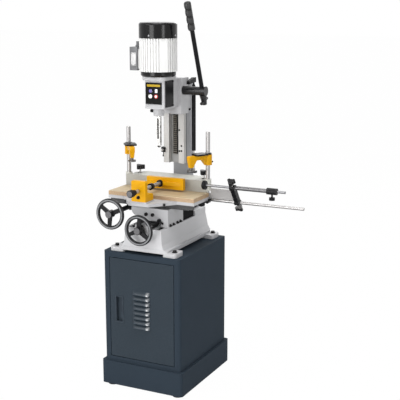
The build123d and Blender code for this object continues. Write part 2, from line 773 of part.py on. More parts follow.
def table_casting():
    """Table plate with its tongue, slide legs, feed rack, rear lugs and fence pillars."""
    w = TABLE_W / 2
    edge = [(-w, TABLE_FRONT), (-TONGUE_ROOT, TABLE_FRONT), (-TONGUE_NECK, TABLE_FRONT - TONGUE_BEND)]
    edge += [(-TONGUE_TIP, TONGUE_Y)]
    edge += [(-x, y) for x, y in reversed(edge)]
    plate = prism_z(edge + [(w, TABLE_BACK), (-w, TABLE_BACK)], PLATE_LOW, PLATE_TOP)
    seat = VISE_W / 2 + 4
    plate += block(-seat, seat, VISE_FRONT, VISE_FRONT + VISE_FOOT_L + 4, PLATE_TOP - 1, VISE_LOW)
    half = XWAY_W / 2 + GAP
    end = w - LEG_IN
    plate += block(-end, end, XWAY_Y - half - 2, XWAY_Y + half + 2, XWAY_TOP + GAP, PLATE_LOW + 1)
    for side in (-1, 1):
        plate += prism_x(leg(side), -end, end)
    teeth = rack_outline(-w + 7, w - 7, XWHEEL_X, XRACK_M, XPITCH, PLATE_LOW + 1)
    plate += prism_y(along(teeth), XRACK_FRONT, XRACK_BACK)
    h = PILLAR_W / 2
    for x in (-KNOB_X, KNOB_X):
        plate += block(x - 1.5 * h, x + 1.5 * h, TABLE_BACK - 1, KNOB_Y + h + 5, PLATE_LOW, PLATE_TOP)
        plate += block(x - h, x + h, KNOB_Y - h, KNOB_Y + h, PLATE_TOP - 1, FENCE_TOP - LEDGE_T - GAP)
        plate -= bar_z(x, KNOB_Y, FENCE_TOP - STUD_L - 1, FENCE_TOP, STUD_R + RUN)
    left = w - ROD_LUG_IN
    plate += block(left, w, LOW_Y - ROD_LUG, TABLE_BACK + 1, LOW_Z - ROD_LUG, PLATE_TOP)
    plate += block(left, w, TABLE_BACK, LOW_Y + ROD_LUG, LOW_Z - ROD_LUG, LUG_TOP)
    return plate - bar_x(left + 2, w + 1, LOW_Y, LOW_Z, LOW_R + RUN)


def table_board():
    """Wooden board on the table plate."""
    w = TABLE_W / 2
    board = block(-w, w, TABLE_FRONT, TABLE_BACK, PLATE_TOP, BOARD_TOP)
    return chamfer(board.edges().group_by(Axis.Z)[-1], 1.5)


def table_handles():
    """Lock knob under the right end of the table and clamp lever of the lower stop rod."""
    r = LOCK_KNOB_R
    x = TABLE_W / 2 - r
    knob = bar_z(x, LOCK_KNOB_Y, PLATE_LOW - 1.4 * r, PLATE_LOW - 0.6 * r, r)
    knob = chamfer(knob.edges().group_by(Axis.Z)[0], r / 4)
    knob += bar_z(x, LOCK_KNOB_Y, PLATE_LOW - 0.7 * r, PLATE_LOW, 0.4 * r)
    x = TABLE_W / 2
    y = LOW_Y - ROD_LUG + 3
    z = LOW_Z + 2
    r = ROD_LEVER_R
    lever = bar_x(x, x + 3 * r, y, z, r)
    arm = bar_z(0, 0, -ROD_LEVER_L, 0, 0.8 * r) + Pos(0, 0, -ROD_LEVER_L) * Sphere(1.3 * r)
    return [knob, lever + Pos(x + 2 * r, y, z) * Rot(-ROD_LEVER_TILT, 0, 0) * arm]


def vise_body():
    """Vise block on the tongue of the table, an upright on a long foot."""
    top = VISE_LOW + VISE_H
    step = VISE_LOW + VISE_FOOT_H
    back = VISE_FRONT + VISE_T
    end = VISE_FRONT + VISE_FOOT_L
    side = [(VISE_FRONT, VISE_LOW), (end, VISE_LOW), (end, step - 6), (end - 6, step)]
    side += [(back + 3, step), (back, step + 3), (back, top), (VISE_FRONT, top)]
    body = prism_x(side, -VISE_W / 2, VISE_W / 2)
    body = chamfer(body.edges().group_by(Axis.Z)[-1].filter_by(Axis.Y), 5)
    return body - bar_y(0, VISE_FRONT - 1, end + 1, SCREW_AXIS, SCREW_R + RUN)


def vise_collar():
    """Ring fixed on the spindle behind the vise block."""
    ring = bar_y(0, COLLAR_Y, COLLAR_Y + COLLAR_L, SCREW_AXIS, COLLAR_R)
    return ring - bar_y(0, COLLAR_Y - 1, COLLAR_Y + COLLAR_L + 1, SCREW_AXIS, SCREW_R)


def vise_jaw():
    """Ribbed jaw plate on the end of the screw."""
    back = JAW_FRONT + JAW_T
    jaw = block(JAW_LEFT, JAW_RIGHT, JAW_FRONT, back, SCREW_AXIS - JAW_LOW, SCREW_AXIS + JAW_HIGH)
    front = JAW_FRONT - JAW_BOSS_L
    rib = [(JAW_LEFT + 7, JAW_FRONT + 1), (-JAW_BOSS_R, front + 2), (JAW_BOSS_R, front + 2)]
    rib += [(JAW_RIGHT - 9, JAW_FRONT + 1)]
    jaw += prism_z(rib, SCREW_AXIS - JAW_BOSS_R / 2, SCREW_AXIS + JAW_BOSS_R / 2)
    jaw += bar_y(0, front, JAW_FRONT + 1, SCREW_AXIS, JAW_BOSS_R)
    return jaw - bar_y(0, front - 1, JAW_FRONT + 0.6 * JAW_T, SCREW_AXIS, SCREW_R + RUN)


def vise_screw():
    """Vise spindle."""
    front = VISE_FRONT - VISE_KNOB_OUT + VISE_KNOB_L / 2
    return bar_y(0, front, JAW_FRONT + 0.6 * JAW_T - GAP, SCREW_AXIS, SCREW_R)


def vise_knob():
    """Round knob on the front of the spindle."""
    y = VISE_FRONT - VISE_KNOB_OUT
    knob = bar_y(0, y, y + VISE_KNOB_L, SCREW_AXIS, VISE_KNOB_R)
    knob = chamfer(knob.edges().filter_by(GeomType.CIRCLE), 3)
    neck = VISE_KNOB_L + VISE_KNOB_R
    knob += bar_y(0, y + VISE_KNOB_L - 1, y + neck, SCREW_AXIS, 0.75 * VISE_KNOB_R)
    return knob - bar_y(0, y + VISE_KNOB_L / 2, y + neck + 1, SCREW_AXIS, SCREW_R)


def fence():
    """Fence face with its rear ledge, knob slots and post bosses."""
    body = block(-FENCE_END, FENCE_END, 0, FENCE_T, FENCE_LOW, FENCE_TOP)
    end = KNOB_X + LEDGE_END
    side = LEDGE_BACK - LEDGE_CUT
    ledge = [(-end, 0), (end, 0), (end, side), (end - LEDGE_CUT, LEDGE_BACK)]
    ledge += [(LEDGE_CUT - end, LEDGE_BACK), (-end, side)]
    body += prism_z(ledge, FENCE_TOP - LEDGE_T, FENCE_TOP)
    for x in (-POST_X, POST_X):
        body += bar_z(x, POST_Y, FENCE_LOW + POST_SEAT - 2, FENCE_TOP + 7, POST_R + 6)
        body -= bar_z(x, POST_Y, FENCE_LOW + POST_SEAT, FENCE_TOP + 8, POST_R)
    half = FENCE_TRAVEL / 2 + 3
    slot = STUD_R + GAP
    low = FENCE_TOP - LEDGE_T - 1
    for x in (-KNOB_X, KNOB_X):
        for y in (KNOB_Y - half, KNOB_Y + half):
            body -= bar_z(x, y, low, FENCE_TOP + 1, slot)
        body -= block(x - slot, x + slot, KNOB_Y - half, KNOB_Y + half, low, FENCE_TOP + 1)
    return body


def fence_posts():
    """Two upright posts in the fence."""
    posts = [bar_z(x, POST_Y, FENCE_LOW + POST_SEAT, POST_TOP, POST_R) for x in (-POST_X, POST_X)]
    return [chamfer(p.edges().group_by(Axis.Z)[-1], 2) for p in posts]


def fence_knob(x):
    """Lobed knob, washer and stud that clamp the fence ledge."""
    rise = 0.9 * KNOB_T
    knob = bar_z(x, KNOB_Y, FENCE_TOP - STUD_L, FENCE_TOP + rise + 1, STUD_R)
    knob += bar_z(x, KNOB_Y, FENCE_TOP + GAP, FENCE_TOP + GAP + 3, 2 * STUD_R)
    return knob + Pos(x, KNOB_Y, FENCE_TOP + rise) * star(KNOB_R, KNOB_T)


def place_arm(side, top):
    """Where a hold-down stands: on its post, turned over the table."""
    turn = ARM_RIGHT_TURN if side > 0 else ARM_LEFT_TURN
    return Pos(side * POST_X, POST_Y, top) * Rot(0, 0, turn)


def hold_collar(side, top):
    """Clamp ring on top of a hold-down arm, with its flat clamp plate."""
    ring = Pos(0, 0, GAP + CLAMP_T / 2) * Cylinder(POST_R + 7, CLAMP_T)
    plate = block(POST_R + 1, POST_R + 1 + CLAMP_L, -CLAMP_W / 2, CLAMP_W / 2, GAP, GAP + CLAMP_T)
    ring += chamfer(plate.edges().filter_by(Axis.Z), 6)
    return place_arm(side, top) * (ring - Cylinder(POST_R + RUN, 10 * CLAMP_T))


def hold_arm(side, top):
    """Hooked hold-down arm with rounded elbows and a tapered end."""
    boss = POST_R + ARM_WALL
    end = ARM_REACH - ARM_TIP_IN
    elbow = ARM_REACH - ARM_ELBOW
    hook = [(0, 0), (ARM_REACH, 0), (end, -ARM_DROP), (end - ARM_TIP, -ARM_DROP), (elbow, -ARM_BAR)]
    hook += [(2 * boss, -ARM_BAR), (0.75 * boss, -ARM_BOSS), (0, -ARM_BOSS)]
    half = ARM_W / 2
    bar = prism_y(hook, -half, half)
    ridges = bar.edges().filter_by(Axis.Y)
    inner = ridges.filter_by_position(Axis.Z, -ARM_BAR - 1, 1 - ARM_BAR)
    bar = fillet(ridges.sort_by(Axis.X)[-1:] + inner, ARM_R)
    for y in (-1, 1):
        wedge = [(y * half, -ARM_BAR), (y * (half + 1), -ARM_BAR), (y * (half + 1), -ARM_DROP - 1)]
        wedge += [(y * ARM_TIP / 2, -ARM_DROP - 1)]
        bar -= prism_x(wedge, elbow - ARM_R, ARM_REACH + 1)
    arm = bar + bar_z(0, 0, -ARM_BOSS, 0, boss)
    return place_arm(side, top) * (arm - bar_z(0, 0, -ARM_BOSS - 5, 5, POST_R + RUN))


def hold_pad(side, top):
    """Disc foot on a short neck under the end of a hold-down arm."""
    x = ARM_REACH - ARM_TIP_IN - ARM_TIP / 2
    low = -ARM_DROP - PAD_NECK
    pad = bar_z(x, 0, low - PAD_T, low, PAD_R)
    return place_arm(side, top) * (pad + bar_z(x, 0, low - 1, -ARM_DROP, ARM_TIP / 2 - 1))


def stop_bracket():
    """Plate behind the lower stop rod, seated on the rear lug of the table."""
    x = TABLE_W / 2
    end = LINK_X - LINK_R
    y0 = LOW_Y - BRACKET_T / 2
    y1 = LOW_Y + BRACKET_T / 2
    plate = block(x, end, y0, y1, LOW_Z + LOW_R + GAP, LUG_TOP + 1)
    plate += block(x - 20, end, y0, y1, LUG_TOP, FENCE_LOW - 3)
    return plate + block(x + 8, end, y0, y1, LUG_TOP, LUG_TOP + BRACKET_H)


def stop_rod_low():
    """Lower stop rod in the table."""
    return bar_x(TABLE_W / 2 - LOW_IN, LOW_END, LOW_Y, LOW_Z, LOW_R)


def stop_rod_high():
    """Upper stop rod in the link."""
    return bar_x(TABLE_W / 2 + 6, HIGH_END, HIGH_Y, HIGH_Z, HIGH_R)


def stop_disc():
    """Disc on the inner end of the upper stop rod."""
    x = TABLE_W / 2 - 6
    disc = bar_x(x, x + DISC_T, HIGH_Y, HIGH_Z, DISC_R)
    disc = chamfer(disc.edges().filter_by(GeomType.CIRCLE), 2.5)
    return disc - bar_x(x + 12, x + DISC_T + 1, HIGH_Y, HIGH_Z, HIGH_R)


def link_plane(end):
    """Frame on one end of the stop link, pointing away from the other end."""
    dy = HIGH_Y - LOW_Y
    dz = HIGH_Z - LOW_Z
    y, z = (HIGH_Y, HIGH_Z) if end > 0 else (LOW_Y, LOW_Z)
    return Plane(origin=(LINK_X, y, z), x_dir=(1, 0, 0), z_dir=(0, end * dy, end * dz))


def stop_link():
    """Link between the stop rods with its long sleeve and end collar."""
    x = LINK_X
    half = LINK_L / 2
    span = ((HIGH_Y - LOW_Y) ** 2 + (HIGH_Z - LOW_Z) ** 2) ** 0.5
    link = bar_x(x - half, x + half, HIGH_Y, HIGH_Z, LINK_R)
    link += bar_x(x - half, x + half, LOW_Y, LOW_Z, LINK_R)
    web = LINK_R - 3
    link += link_plane(-1) * block(-web, web, -web, web, -span, 0)
    link += bar_x(x + half - 1, RING_X + 1, HIGH_Y, HIGH_Z, SLEEVE_R)
    link += bar_x(RING_X, RING_X + RING_L, HIGH_Y, HIGH_Z, RING_R)
    link -= bar_x(x - half - 1, RING_X + RING_L + 1, HIGH_Y, HIGH_Z, HIGH_R + RUN)
    link -= bar_x(x - half - 1, x + half + 1, LOW_Y, LOW_Z, LOW_R + RUN)
    for end, r in ((1, HIGH_R), (-1, LOW_R)):
        link -= link_plane(end) * bar_z(0, 0, r, LINK_R + 6, LINK_STUD_R + RUN)
    middle = RING_X + RING_L / 2
    return link - bar_z(middle, HIGH_Y, HIGH_Z - RING_R - 5, HIGH_Z - HIGH_R, LINK_STUD_R + RUN)


def link_knob(end):
    """Lobed clamp knob, washer and stud on one end of the link."""
    r = HIGH_R if end > 0 else LOW_R
    rise = 1.6 * LINK_KNOB_R
    knob = bar_z(0, 0, r + 2, rise + 1, LINK_STUD_R)
    knob += bar_z(0, 0, LINK_R + GAP, LINK_R + GAP + 3, 2 * LINK_STUD_R)
    return link_plane(end) * (knob + Pos(0, 0, rise) * star(LINK_KNOB_R, LINK_KNOB_R))


def stop_thumb():
    """Thumb screw under the sleeve collar."""
    x = RING_X + RING_L / 2
    z = HIGH_Z - RING_R
    return bar_z(x, HIGH_Y, z - 13, HIGH_Z - HIGH_R - 2, LINK_STUD_R) + bar_z(x, HIGH_Y, z - 25, z - 12, 13)


def head_casting():
    """Sliding head with its chuck chamber, pinion cavity, cheeks, keepers and motor neck."""
    w = HEAD_W / 2
    c = CHEEK_W / 2
    head = block(-w, w, HEAD_FRONT, 2 * CHEEK_FRONT, HEAD_LOW, HEAD_TOP)
    head = fillet(head.edges().filter_by(Axis.Z).group_by(Axis.Y)[0], 6)
    rear = WAYS_FRONT - GAP
    head += block(-c, c, CHEEK_FRONT, rear, CHEEK_LOW, CHEEK_TOP)
    keep = WAYS_REAR + GAP
    for x0, x1 in ((-c, -WAYS_W / 2 - GAP), (WAYS_W / 2 + GAP, c)):
        head += block(x0, x1, rear - 1, keep, CHEEK_LOW, CHEEK_TOP)
    for x0, x1 in ((-c, -COL_W / 2 - 3), (COL_W / 2 + 3, c)):
        head += block(x0, x1, keep, keep + KEEPER_T, CHEEK_LOW + 10, HEAD_TOP - 10)
    neck = NECK_W / 2
    head += round_z(block(-neck, neck, TOOL_Y - neck, TOOL_Y + neck + 16, HEAD_TOP, NECK_TOP), 24)
    head -= block(-30, w + 1, TOOL_Y - 26, TOOL_Y + 28, HEAD_LOW + 15, HEAD_TOP - 12)
    head -= bar_z(0, TOOL_Y, HEAD_LOW - 1, NECK_TOP + 1, SHAFT_R + 6)
    bore = PINION_R + RACK_M + 3
    room = PINION_W / 2 + 2
    head -= bar_x(-room, room, HUB_Y, HUB_Z, bore)
    head -= block(-room, room, HUB_Y, rear + 1, HUB_Z - bore, HUB_Z + bore)
    head -= bar_x(AXLE_LEFT - 2, c + 1, HUB_Y, HUB_Z, AXLE_R + RUN)
    for x in (BUTTON_LEFT, BUTTON_RIGHT):
        head -= bar_y(x, HEAD_FRONT - 1, HEAD_FRONT + 9, HEAD_LOW + BUTTON_RISE, BUTTON_R + GAP)
    return head


def control_panel():
    """Flat panel on the front of the head."""
    front = HEAD_FRONT - PANEL_T
    panel = block(PANEL_LEFT, PANEL_RIGHT, front, HEAD_FRONT, HEAD_LOW + PANEL_IN, HEAD_TOP - PANEL_IN / 2)
    for x in (BUTTON_LEFT, BUTTON_RIGHT):
        panel -= bar_y(x, front - 1, HEAD_FRONT + 1, HEAD_LOW + BUTTON_RISE, BUTTON_R + GAP)
    return panel


def push_button(x):
    """Round push button in the panel."""
    return bar_y(x, HEAD_FRONT - 2 * PANEL_T, HEAD_FRONT + PANEL_T, HEAD_LOW + BUTTON_RISE, BUTTON_R)


def side_cover():
    """Cover plate of the chuck chamber on the right of the head."""
    x = HEAD_W / 2
    y0 = HEAD_FRONT + COVER_IN
    y1 = y0 + COVER_L
    plate = block(x, x + PANEL_T, y0, y1, HEAD_LOW + 7, HEAD_TOP - 2)
    for z in (HEAD_LOW + 13, HEAD_TOP - 8):
        for y in (y0 + 6, y1 - 6):
            plate += bar_x(x + PANEL_T - 1, x + PANEL_T + 3, y, z, 4)
    return plate


def motor_covers():
    """End bell under the motor and slotted fan cowl on top of it."""
    bell = bar_z(0, TOOL_Y, NECK_TOP, MOTOR_LOW, MOTOR_R - BELL_IN)
    bell = chamfer(bell.edges().group_by(Axis.Z)[0], BELL_IN)
    bell -= bar_z(0, TOOL_Y, NECK_TOP - 1, MOTOR_LOW + 1, SHAFT_R + RUN)
    r = MOTOR_R + 1
    cowl = fillet(bar_z(0, TOOL_Y, MOTOR_TOP, COWL_TOP, r).edges().group_by(Axis.Z)[-1], COWL_R)
    cowl -= bar_z(0, TOOL_Y, MOTOR_TOP - 1, COWL_TOP - COWL_R, r - COWL_WALL)
    cowl -= bar_z(0, TOOL_Y, MOTOR_TOP, COWL_TOP - COWL_WALL, r - COWL_R)
    slot = Box(0.4 * r, 5, 4 * COWL_WALL)
    for k in range(COWL_SLOTS):
        cowl -= Pos(0, TOOL_Y, COWL_TOP) * Rot(0, 0, 360 / COWL_SLOTS * k) * Pos(r / 2, 0, 0) * slot
    return [bell, cowl]


def motor_body():
    """Finned motor housing with four smooth panels and a pad for the switch box."""
    middle = Pos(0, TOOL_Y, MOTOR_LOW + MOTOR_H / 2)
    core = MOTOR_R - FIN_DEEP
    body = bar_z(0, TOOL_Y, MOTOR_LOW, MOTOR_TOP, core)
    panel = Box(MOTOR_R - 2.5, PANEL_FACE, MOTOR_H)
    for k in range(4):
        body += middle * Rot(0, 0, 90 * k + 45) * Pos(MOTOR_R / 2 - 1.25, 0, 0) * panel
    h = BOX_D / 2 - 8
    body += block(-MOTOR_R - 2, 0, TOOL_Y - h, TOOL_Y + h, MOTOR_LOW + 10, MOTOR_LOW + BOX_H - 8)
    half = 180 / pi * PANEL_FACE / 2 / MOTOR_R
    fin = Box(2 * FIN_DEEP, FIN_T, MOTOR_H)
    for k in range(FINS):
        angle = 360 / FINS * k
        if abs(angle % 90 - 45) > half and abs(angle - 180) > 2 * half:
            body += middle * Rot(0, 0, angle) * Pos(MOTOR_R - FIN_DEEP, 0, 0) * fin
    body -= bar_z(0, TOOL_Y, MOTOR_LOW - 1, MOTOR_TOP - 12, core - 13)
    return body - bar_z(0, TOOL_Y, MOTOR_LOW, MOTOR_TOP + 1, SHAFT_R + RUN)


def switch_box():
    """Terminal box on the left of the motor, with its gland."""
    x = -MOTOR_R - 2
    low = MOTOR_LOW + 2
    top = low + BOX_H
    box = block(x - BOX_W, x, TOOL_Y - BOX_D / 2, TOOL_Y + BOX_D / 2, low, top)
    box = fillet(box.edges().filter_by(Axis.Z).group_by(Axis.X)[0], 9)
    box += bar_z(x - GLAND_IN, TOOL_Y, top - 1, top + 7, GLAND_R + 3)
    return box + bar_z(x - GLAND_IN, TOOL_Y, top + 6, top + 24, GLAND_R)


def rotor():
    """Motor shaft with its chuck, rotor core and fan."""
    low = HEAD_LOW + 22
    fan = MOTOR_TOP + 12
    shaft = bar_z(0, TOOL_Y, low, fan + 18, SHAFT_R)
    shaft += bar_z(0, TOOL_Y, MOTOR_LOW + 20, MOTOR_TOP - 35, MOTOR_R - ROTOR_IN)
    shaft += bar_z(0, TOOL_Y, low, low + CHUCK_L, SHAFT_R + 3)
    shaft += bar_z(0, TOOL_Y, fan, fan + 4, FAN_R)
    blade = Box(FAN_R - 16, 3, 14)
    for k in range(FAN_BLADES):
        shaft += Pos(0, TOOL_Y, fan + 11) * Rot(0, 0, 360 / FAN_BLADES * k) * Pos(FAN_R / 2 + 8, 0, 0) * blade
    return shaft - bar_z(0, TOOL_Y, low - 1, low + CHUCK_L - 10, BIT_R)


def auger_bit():
    """Bit inside the chisel, its cutting tip just below."""
    bit = bar_z(0, TOOL_Y, CHISEL_LOW - 1, HEAD_LOW + 12 + CHUCK_L, BIT_R)
    return bit + Pos(0, TOOL_Y, CHISEL_LOW - 4) * Cone(2, CHISEL_W / 2, 6)


def chisel():
    """Hollow square chisel with its round shank, front and right windows and four points."""
    half = CHISEL_W / 2
    neck = CHISEL_TOP - SHANK_L - 5
    tool = block(-half, half, TOOL_Y - half, TOOL_Y + half, CHISEL_LOW, neck)
    tool += bar_z(0, TOOL_Y, neck - 7, CHISEL_TOP, SHANK_R)
    tool -= bar_z(0, TOOL_Y, CHISEL_LOW - 1, CHISEL_TOP + 1, BIT_R + 0.4)
    tool -= Pos(0, TOOL_Y, CHISEL_LOW + 3) * Cone(half * 1.5, half * 0.5, 8)
    wide = FLUTE_W / 2
    low = CHISEL_LOW + FLUTE_LOW
    tool -= block(0, half + 1, TOOL_Y - wide, TOOL_Y + wide, low, low + FLUTE_L)
    low += FLUTE_STEP
    return tool - block(-wide, wide, TOOL_Y - half - 1, TOOL_Y, low, low + FLUTE_L)


def chisel_bush():
    """Bush under the head that grips the chisel shank."""
    bush = bar_z(0, TOOL_Y, HEAD_LOW - BUSH_H, HEAD_LOW, BUSH_R)
    bush = chamfer(bush.edges().group_by(Axis.Z)[0], 3)
    bush -= bar_z(0, TOOL_Y, HEAD_LOW - BUSH_H - 1, HEAD_LOW + 1, SHANK_R)
    return bush - bar_x(-BUSH_R - 1, -5, TOOL_Y, THUMB_Z, THUMB_R + RUN)


def bush_screw():
    """Thumb screw that locks the chisel."""
    stud = bar_x(-BUSH_R - 14, -SHANK_R - 0.5, TOOL_Y, THUMB_Z, THUMB_R)
    return stud + bar_x(-BUSH_R - 16, -BUSH_R - 4, TOOL_Y, THUMB_Z, THUMB_HEAD_R)


def strut_tube():
    """Gas strut tube with its ball end, hanging from a hook on the head."""
    low = HEAD_TOP - STRUT_DROP + STRUT_RISE
    top = HEAD_TOP - STRUT_END
    tube = bar_z(STRUT_X, STRUT_Y, low, top, STRUT_R)
    tube -= bar_z(STRUT_X, STRUT_Y, low - 1, top - STRUT_R, STRUT_ROD_R + 1)
    tube += Pos(STRUT_X, STRUT_Y, top + STRUT_BALL_R - 1) * Sphere(STRUT_BALL_R)
    peak = HEAD_TOP - 2
    hook = peak - HOOK_H
    tube += bar_z(STRUT_X, STRUT_Y, top, hook + 1, STRUT_ROD_R)
    front = WAYS_FRONT + 4
    side = [(STRUT_Y + STRUT_R, hook), (STRUT_Y + STRUT_R, peak), (STRUT_Y - STRUT_R, peak)]
    side += [(front, hook + HOOK_H / 3), (front, hook - HOOK_H / 4), (STRUT_Y - STRUT_R, hook)]
    return tube + prism_x(side, CHEEK_W / 2, STRUT_X + STRUT_BALL_R)


def lever_hub():
    """Feed pinion, axle, hub and the cross plunger under it."""
    teeth = [(HUB_Y + a, HUB_Z + b) for a, b in gear_outline(PINION_N, RACK_M)]
    hub = prism_x(teeth, -PINION_W / 2, PINION_W / 2)
    hub += bar_x(AXLE_LEFT, CHEEK_W / 2 + 4, HUB_Y, HUB_Z, AXLE_R)
    hub += bar_x(CHEEK_W / 2 + GAP, HUB_END, HUB_Y, HUB_Z, HUB_R)
    hub += bar_x(HUB_END - 6, HUB_END, HUB_Y, HUB_Z, HUB_CAP_R)
    hub += lever_plane(-1) * Pos(0, 0, 0.84 * PLUNGER_L) * Cone(17, 11, PLUNGER_L)
    hub += lever_plane(-1) * Pos(0, 0, PLUNGER_L) * Rot(90, 0, 0) * Cylinder(4, PLUNGER_L)
    for y in (-PLUNGER_L / 2, PLUNGER_L / 2):
        hub += lever_plane(-1) * Pos(0, y, PLUNGER_L) * Rot(90, 0, 0) * Cylinder(7, 12)
    return hub


def lever_plane(end):
    """Frame on the hub axis that points along the lever."""
    dy = -sin(radians(LEVER_TILT)) * end
    dz = cos(radians(LEVER_TILT)) * end
    return Plane(origin=(LEVER_X, HUB_Y, HUB_Z), x_dir=(1, 0, 0), z_dir=(0, dy, dz))


def lever_arm():
    """Lever rod on the hub."""
    rod = lever_plane(1) * bar_z(0, 0, 5, LEVER_L - GRIP_L + 20, LEVER_R)
    return rod - bar_x(LEVER_X - 30, LEVER_X + 30, HUB_Y, HUB_Z, HUB_R)


def lever_grip():
    """Grip with finger swells."""
    start = LEVER_L - GRIP_L
    swell = GRIP_L / GRIP_SWELLS
    thin = LEVER_R + 2
    thick = LEVER_R + 4.5
    profile = [(0, start)]
    for k in range(GRIP_SWELLS):
        low = start + k * swell
        profile += [(thin, low), (thick, low + 7), (thick, low + swell - 7), (thin, low + swell)]
    profile += [(0, LEVER_L)]
    section = [p for n, p in enumerate(profile) if n == 0 or p != profile[n - 1]]
    grip = revolve(Plane.XZ * Polygon(*section, align=None), Axis.Z)
    return lever_plane(1) * (grip - bar_z(0, 0, start - 1, start + 20, LEVER_R))


NODES = {
    "cabinet_shell": cabinet_shell,
    "rubber_feet": rubber_feet,
    "cabinet_door": cabinet_door,
    "door_pull": door_pull,
    "base_casting": base_casting,
    "frame_bolts": frame_bolts,
    "column": column,
    "head_rack": head_rack,
    "strut_rod": strut_rod,
    "bellows": bellows,
    "depth_stop": depth_stop,
    "y_wheel": y_wheel,
    "y_screw": y_screw,
    "x_wheel": x_wheel,
    "x_shaft": x_shaft,
    "saddle": saddle,
    "saddle_lock": saddle_lock,
    "table_casting": table_casting,
    "table_board": table_board,
    "table_handles": table_handles,
    "vise_body": vise_body,
    "vise_collar": vise_collar,
    "vise_jaw": vise_jaw,
    "vise_screw": vise_screw,
    "vise_knob": vise_knob,
    "fence": fence,
    "fence_posts": fence_posts,
    "fence_knob_left": lambda: fence_knob(-KNOB_X),
    "fence_knob_right": lambda: fence_knob(KNOB_X),
    "hold_collar_left": lambda: hold_collar(-1, ARM_LEFT),
    "hold_collar_right": lambda: hold_collar(1, ARM_RIGHT),
    "hold_arm_left": lambda: hold_arm(-1, ARM_LEFT),
    "hold_arm_right": lambda: hold_arm(1, ARM_RIGHT),
    "hold_pad_left": lambda: hold_pad(-1, ARM_LEFT),
    "hold_pad_right": lambda: hold_pad(1, ARM_RIGHT),
    "stop_bracket": stop_bracket,
    "stop_rod_low": stop_rod_low,
    "stop_rod_high": stop_rod_high,
    "stop_disc": stop_disc,
    "stop_link": stop_link,
    "link_knob_top": lambda: link_knob(1),
    "link_knob_low": lambda: link_knob(-1),
    "stop_thumb": stop_thumb,
    "head_casting": head_casting,
    "control_panel": control_panel,
    "start_button": lambda: push_button(BUTTON_LEFT),
    "stop_button": lambda: push_button(BUTTON_RIGHT),
    "side_cover": side_cover,
    "motor_covers": motor_covers,
    "motor_body": motor_body,
    "switch_box": switch_box,
    "rotor": rotor,
    "auger_bit": auger_bit,
    "chisel": chisel,
    "chisel_bush": chisel_bush,
    "bush_screw": bush_screw,
    "strut_tube": strut_tube,
    "lever_hub": lever_hub,
    "lever_arm": lever_arm,
    "lever_grip": lever_grip,
}

os.makedirs("parts", exist_ok=True)
for name, make in NODES.items():
    shape = make()
    if isinstance(shape, list):
        shape = Compound(children=shape)
    export_step(shape, "parts/" + name + ".step")
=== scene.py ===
"""Looks for a floor-standing mortiser: finishes, small fittings, studio light and camera."""
from math import cos, pi, radians, sin

import bmesh
import bpy
from mathutils import Matrix, Vector


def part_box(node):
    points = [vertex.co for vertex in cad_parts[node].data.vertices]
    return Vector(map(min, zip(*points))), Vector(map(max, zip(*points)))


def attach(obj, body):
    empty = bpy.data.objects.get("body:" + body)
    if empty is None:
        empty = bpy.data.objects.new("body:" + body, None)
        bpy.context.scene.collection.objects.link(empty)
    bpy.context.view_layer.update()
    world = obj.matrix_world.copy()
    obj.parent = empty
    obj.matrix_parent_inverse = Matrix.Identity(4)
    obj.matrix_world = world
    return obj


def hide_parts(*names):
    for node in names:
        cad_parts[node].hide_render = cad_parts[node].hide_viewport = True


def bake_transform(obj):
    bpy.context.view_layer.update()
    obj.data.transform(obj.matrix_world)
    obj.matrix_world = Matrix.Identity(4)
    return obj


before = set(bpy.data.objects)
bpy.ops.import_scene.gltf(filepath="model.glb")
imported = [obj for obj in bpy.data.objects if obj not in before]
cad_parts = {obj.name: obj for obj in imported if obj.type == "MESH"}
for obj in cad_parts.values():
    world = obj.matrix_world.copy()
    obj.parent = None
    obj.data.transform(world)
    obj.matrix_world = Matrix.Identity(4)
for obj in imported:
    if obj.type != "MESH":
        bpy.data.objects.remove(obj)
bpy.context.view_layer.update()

X_AXIS = Vector((1, 0, 0))
Y_AXIS = Vector((0, 1, 0))
Z_AXIS = Vector((0, 0, 1))
FRONT = -Y_AXIS
SIDES = (("left", -1), ("right", 1))

# Camera of the photograph, fitted to the edges of the cabinet
CAMERA_AT = (2.0328, -3.7869, 1.8047)
CAMERA_TURN = 26.08
CAMERA_DIP = 12.29
SENSOR = 36.0
LENS = 83.7
FAR_CLIP = 200.0

# Studio: place, size and power of each lamp, light of the sky, and the floor
LAMPS = {
    "key": ((-2.8, -4.2, 3.0), 2.4, 66.0),
    "low": ((-0.8, -4.6, 1.0), 2.0, 74.0),
    "side": ((3.6, -2.2, 1.7), 1.0, 22.0),
    "top": ((0.3, -0.9, 4.4), 2.2, 90.0),
    "back": ((-0.8, 4.4, 3.2), 2.6, 50.0),
}
LAMP_AIM = Vector((0, 0, 0.95))
SKY_LOW, SKY_HIGH, SKY_RISE = 0.36, 0.65, 0.7
FLOOR_SIZE = 40.0
FLOOR_TONE = (0.86, 0.86, 0.86, 1)
FLOOR_ROUGH = 0.9
FLOOR_GLOW = 0.985


def linear(value):
    """Light share of one 0-255 screen value."""
    v = value / 255
    return v / 12.92 if v <= 0.04045 else ((v + 0.055) / 1.055) ** 2.4


def tint(r, g, b):
    """Shader colour from screen values."""
    return (linear(r), linear(g), linear(b), 1.0)


def shade(colour, factor):
    """A lighter or darker version of a shader colour."""
    return tuple(min(1.0, c * factor) for c in colour[:3]) + (1.0,)


def middle_of(node):
    """Middle of a node's box."""
    low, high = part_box(node)
    return (low + high) / 2


